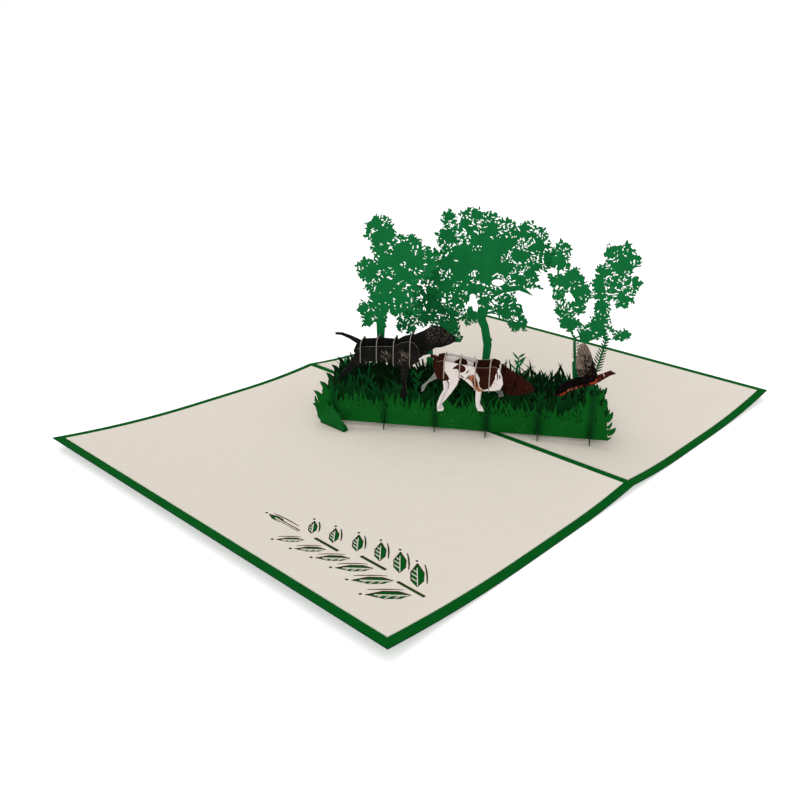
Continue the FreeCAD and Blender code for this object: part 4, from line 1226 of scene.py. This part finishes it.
middle_print += [
    ([(14.8, 36), (24.5, 36), (24.9, 31.0), (24.4, 26.1), (15.3, 24.3)], 1),
    ([(25.6, 34), (43, 34), (43, 14), (24.6, 14)], 1),
    ([(24.0, 32.9), (27.8, 30.4), (27.3, 29.3), (24.4, 31.8)], 3),
    ([(14.4, 29.0), (14.3, 31.8), (14.6, 33.8), (15.1, 33.6), (15.1, 29.1)], 3)]
middle_print += gathered(strokes, ((26, 18), (32, 29), 60, 82, 0.2, 3.0, 0.26, 3, 14),
                         ((31, 18.5), (43, 27), 60, -25, 0.3, 2.4, 0.22, 3, 15),
                         ((30, 20), (42, 26), 20, -20, 0.3, 1.2, 0.10, 1, 16))
# Tone 6 on the far panel's legs is painted shade, not print.
far_print = [brown_rump, ([(14.8, 36), (24.9, 36), (24.9, 24), (15.3, 24)], 1),
             ([(-9, 6), (1.5, 6), (1.5, 24.5), (-9, 24.5)], 6),
             ([(20, 9), (32, 9), (32, 20), (20, 20)], 6)]
figure_sheet("white_dog_near_panel", white_papers, near_print, WHITE_START, GREY_EDGE)
figure_sheet("white_dog_middle_panel", white_papers, middle_print, WHITE_START, DARK)
figure_sheet("white_dog_far_panel", white_papers, far_print, WHITE_START, FAR_LEG_SHADE_GREY)

# %% Ribs
for number in range(1, 5):
    dress(f"black_dog_rib_{number}", BLACK_RIB)
    dress(f"white_dog_rib_{number}", WHITE_RIB)
print("ribs dressed:", 2 * number)

# %% Pheasant
BIRD_START = 59.0
body_print = painted(
    1, [(-12.9, 17.0), (-12.7, 18.0), (-11.5, 19.1), (-10.5, 18.8), (-10.5, 17.9), (-11.8, 16.9)],
    [(-2.7, 25.2), (-1.9, 26.1), (-0.2, 26.2), (1.1, 25.2), (1.2, 24.2), (-0.3, 23.2),
     (-1.7, 23.4)])
body_print += painted(2, [(-10.3, 19.5), (-9.7, 20.2), (-9.2, 19.9), (-9.7, 19.2)],
                      [(-8.6, 20.4), (-8.1, 20.9), (-7.7, 20.4), (-8.1, 19.9)],
                      [(-7.1, 20.9), (-6.6, 21.6), (-6.0, 21.3), (-6.4, 20.5)],
                      [(-5.4, 21.5), (-4.9, 22.0), (-4.3, 21.8), (-4.8, 21.2)])
body_print += gathered(strokes, ((-10, 19), (-4, 22.4), 18, 30, 0.5, 0.6, 0.22, 2, 28),
                       ((-2.6, 23), (1.3, 26.3), 26, 20, 0.6, 0.5, 0.22, 2, 21),
                       ((-3, 23), (6, 29), 50, 35, 0.4, 0.8, 0.14, 1, 22),
                       ((-13, 17), (6, 29), 110, 35, 0.5, 1.0, 0.20, 4, 23))
body_print += [([(3.3, 28.2), (3.6, 28.3), (4.2, 27.2), (4.0, 26.6), (3.85, 27.2)], 3)]
bird_papers = [BIRD, RED, ORANGE, WHITE, WING_DARK]
figure_sheet("pheasant_body", bird_papers, body_print, BIRD_START, WING_DARK)
wing_print = gathered(strokes, ((-9, 26), (1, 40.5), 320, 112, 0.16, 1.7, 0.15, 2, 24),
                      ((-9, 28), (-2, 40.5), 130, 112, 0.16, 1.5, 0.11, 3, 25))
wing_print += painted(1, [(-7.4, 22), (-7.2, 24.4), (-4.6, 26.2), (-2.6, 28.6), (-1.6, 32),
                          (-1.9, 38), (-0.4, 37), (0.9, 32), (2.8, 28.6), (2.6, 22)])
wing_print += gathered(strokes, ((-8, 23.5), (0.5, 28.5), 190, 112, 0.2, 1.6, 0.24, 1, 29),
                       ((-4.5, 27), (0, 35), 120, 112, 0.2, 1.8, 0.22, 1, 30),
                       ((-5.5, 25), (0.5, 37), 60, 112, 0.16, 1.3, 0.10, 2, 26))
figure_sheet("pheasant_raised_wing", [WING, WING_DARK, WING_STROKE, WING_PALE], wing_print,
             BIRD_START, WING_DARK)
figure_sheet("pheasant_folded_wing", [WING_DARK, WING_STROKE],
             strokes((-15, 17), (1, 26), 16, 30, 0.2, 1.8, 0.08, 1, 27), BIRD_START, WING_DARK)

# %% [markdown]
# ## Sizes
# The visual model's box is printed. The visual model has to stay in the imported model's
# box.

# %% Sizes, and finish
low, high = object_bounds()
print("visual box:", tuple(low), tuple(high))
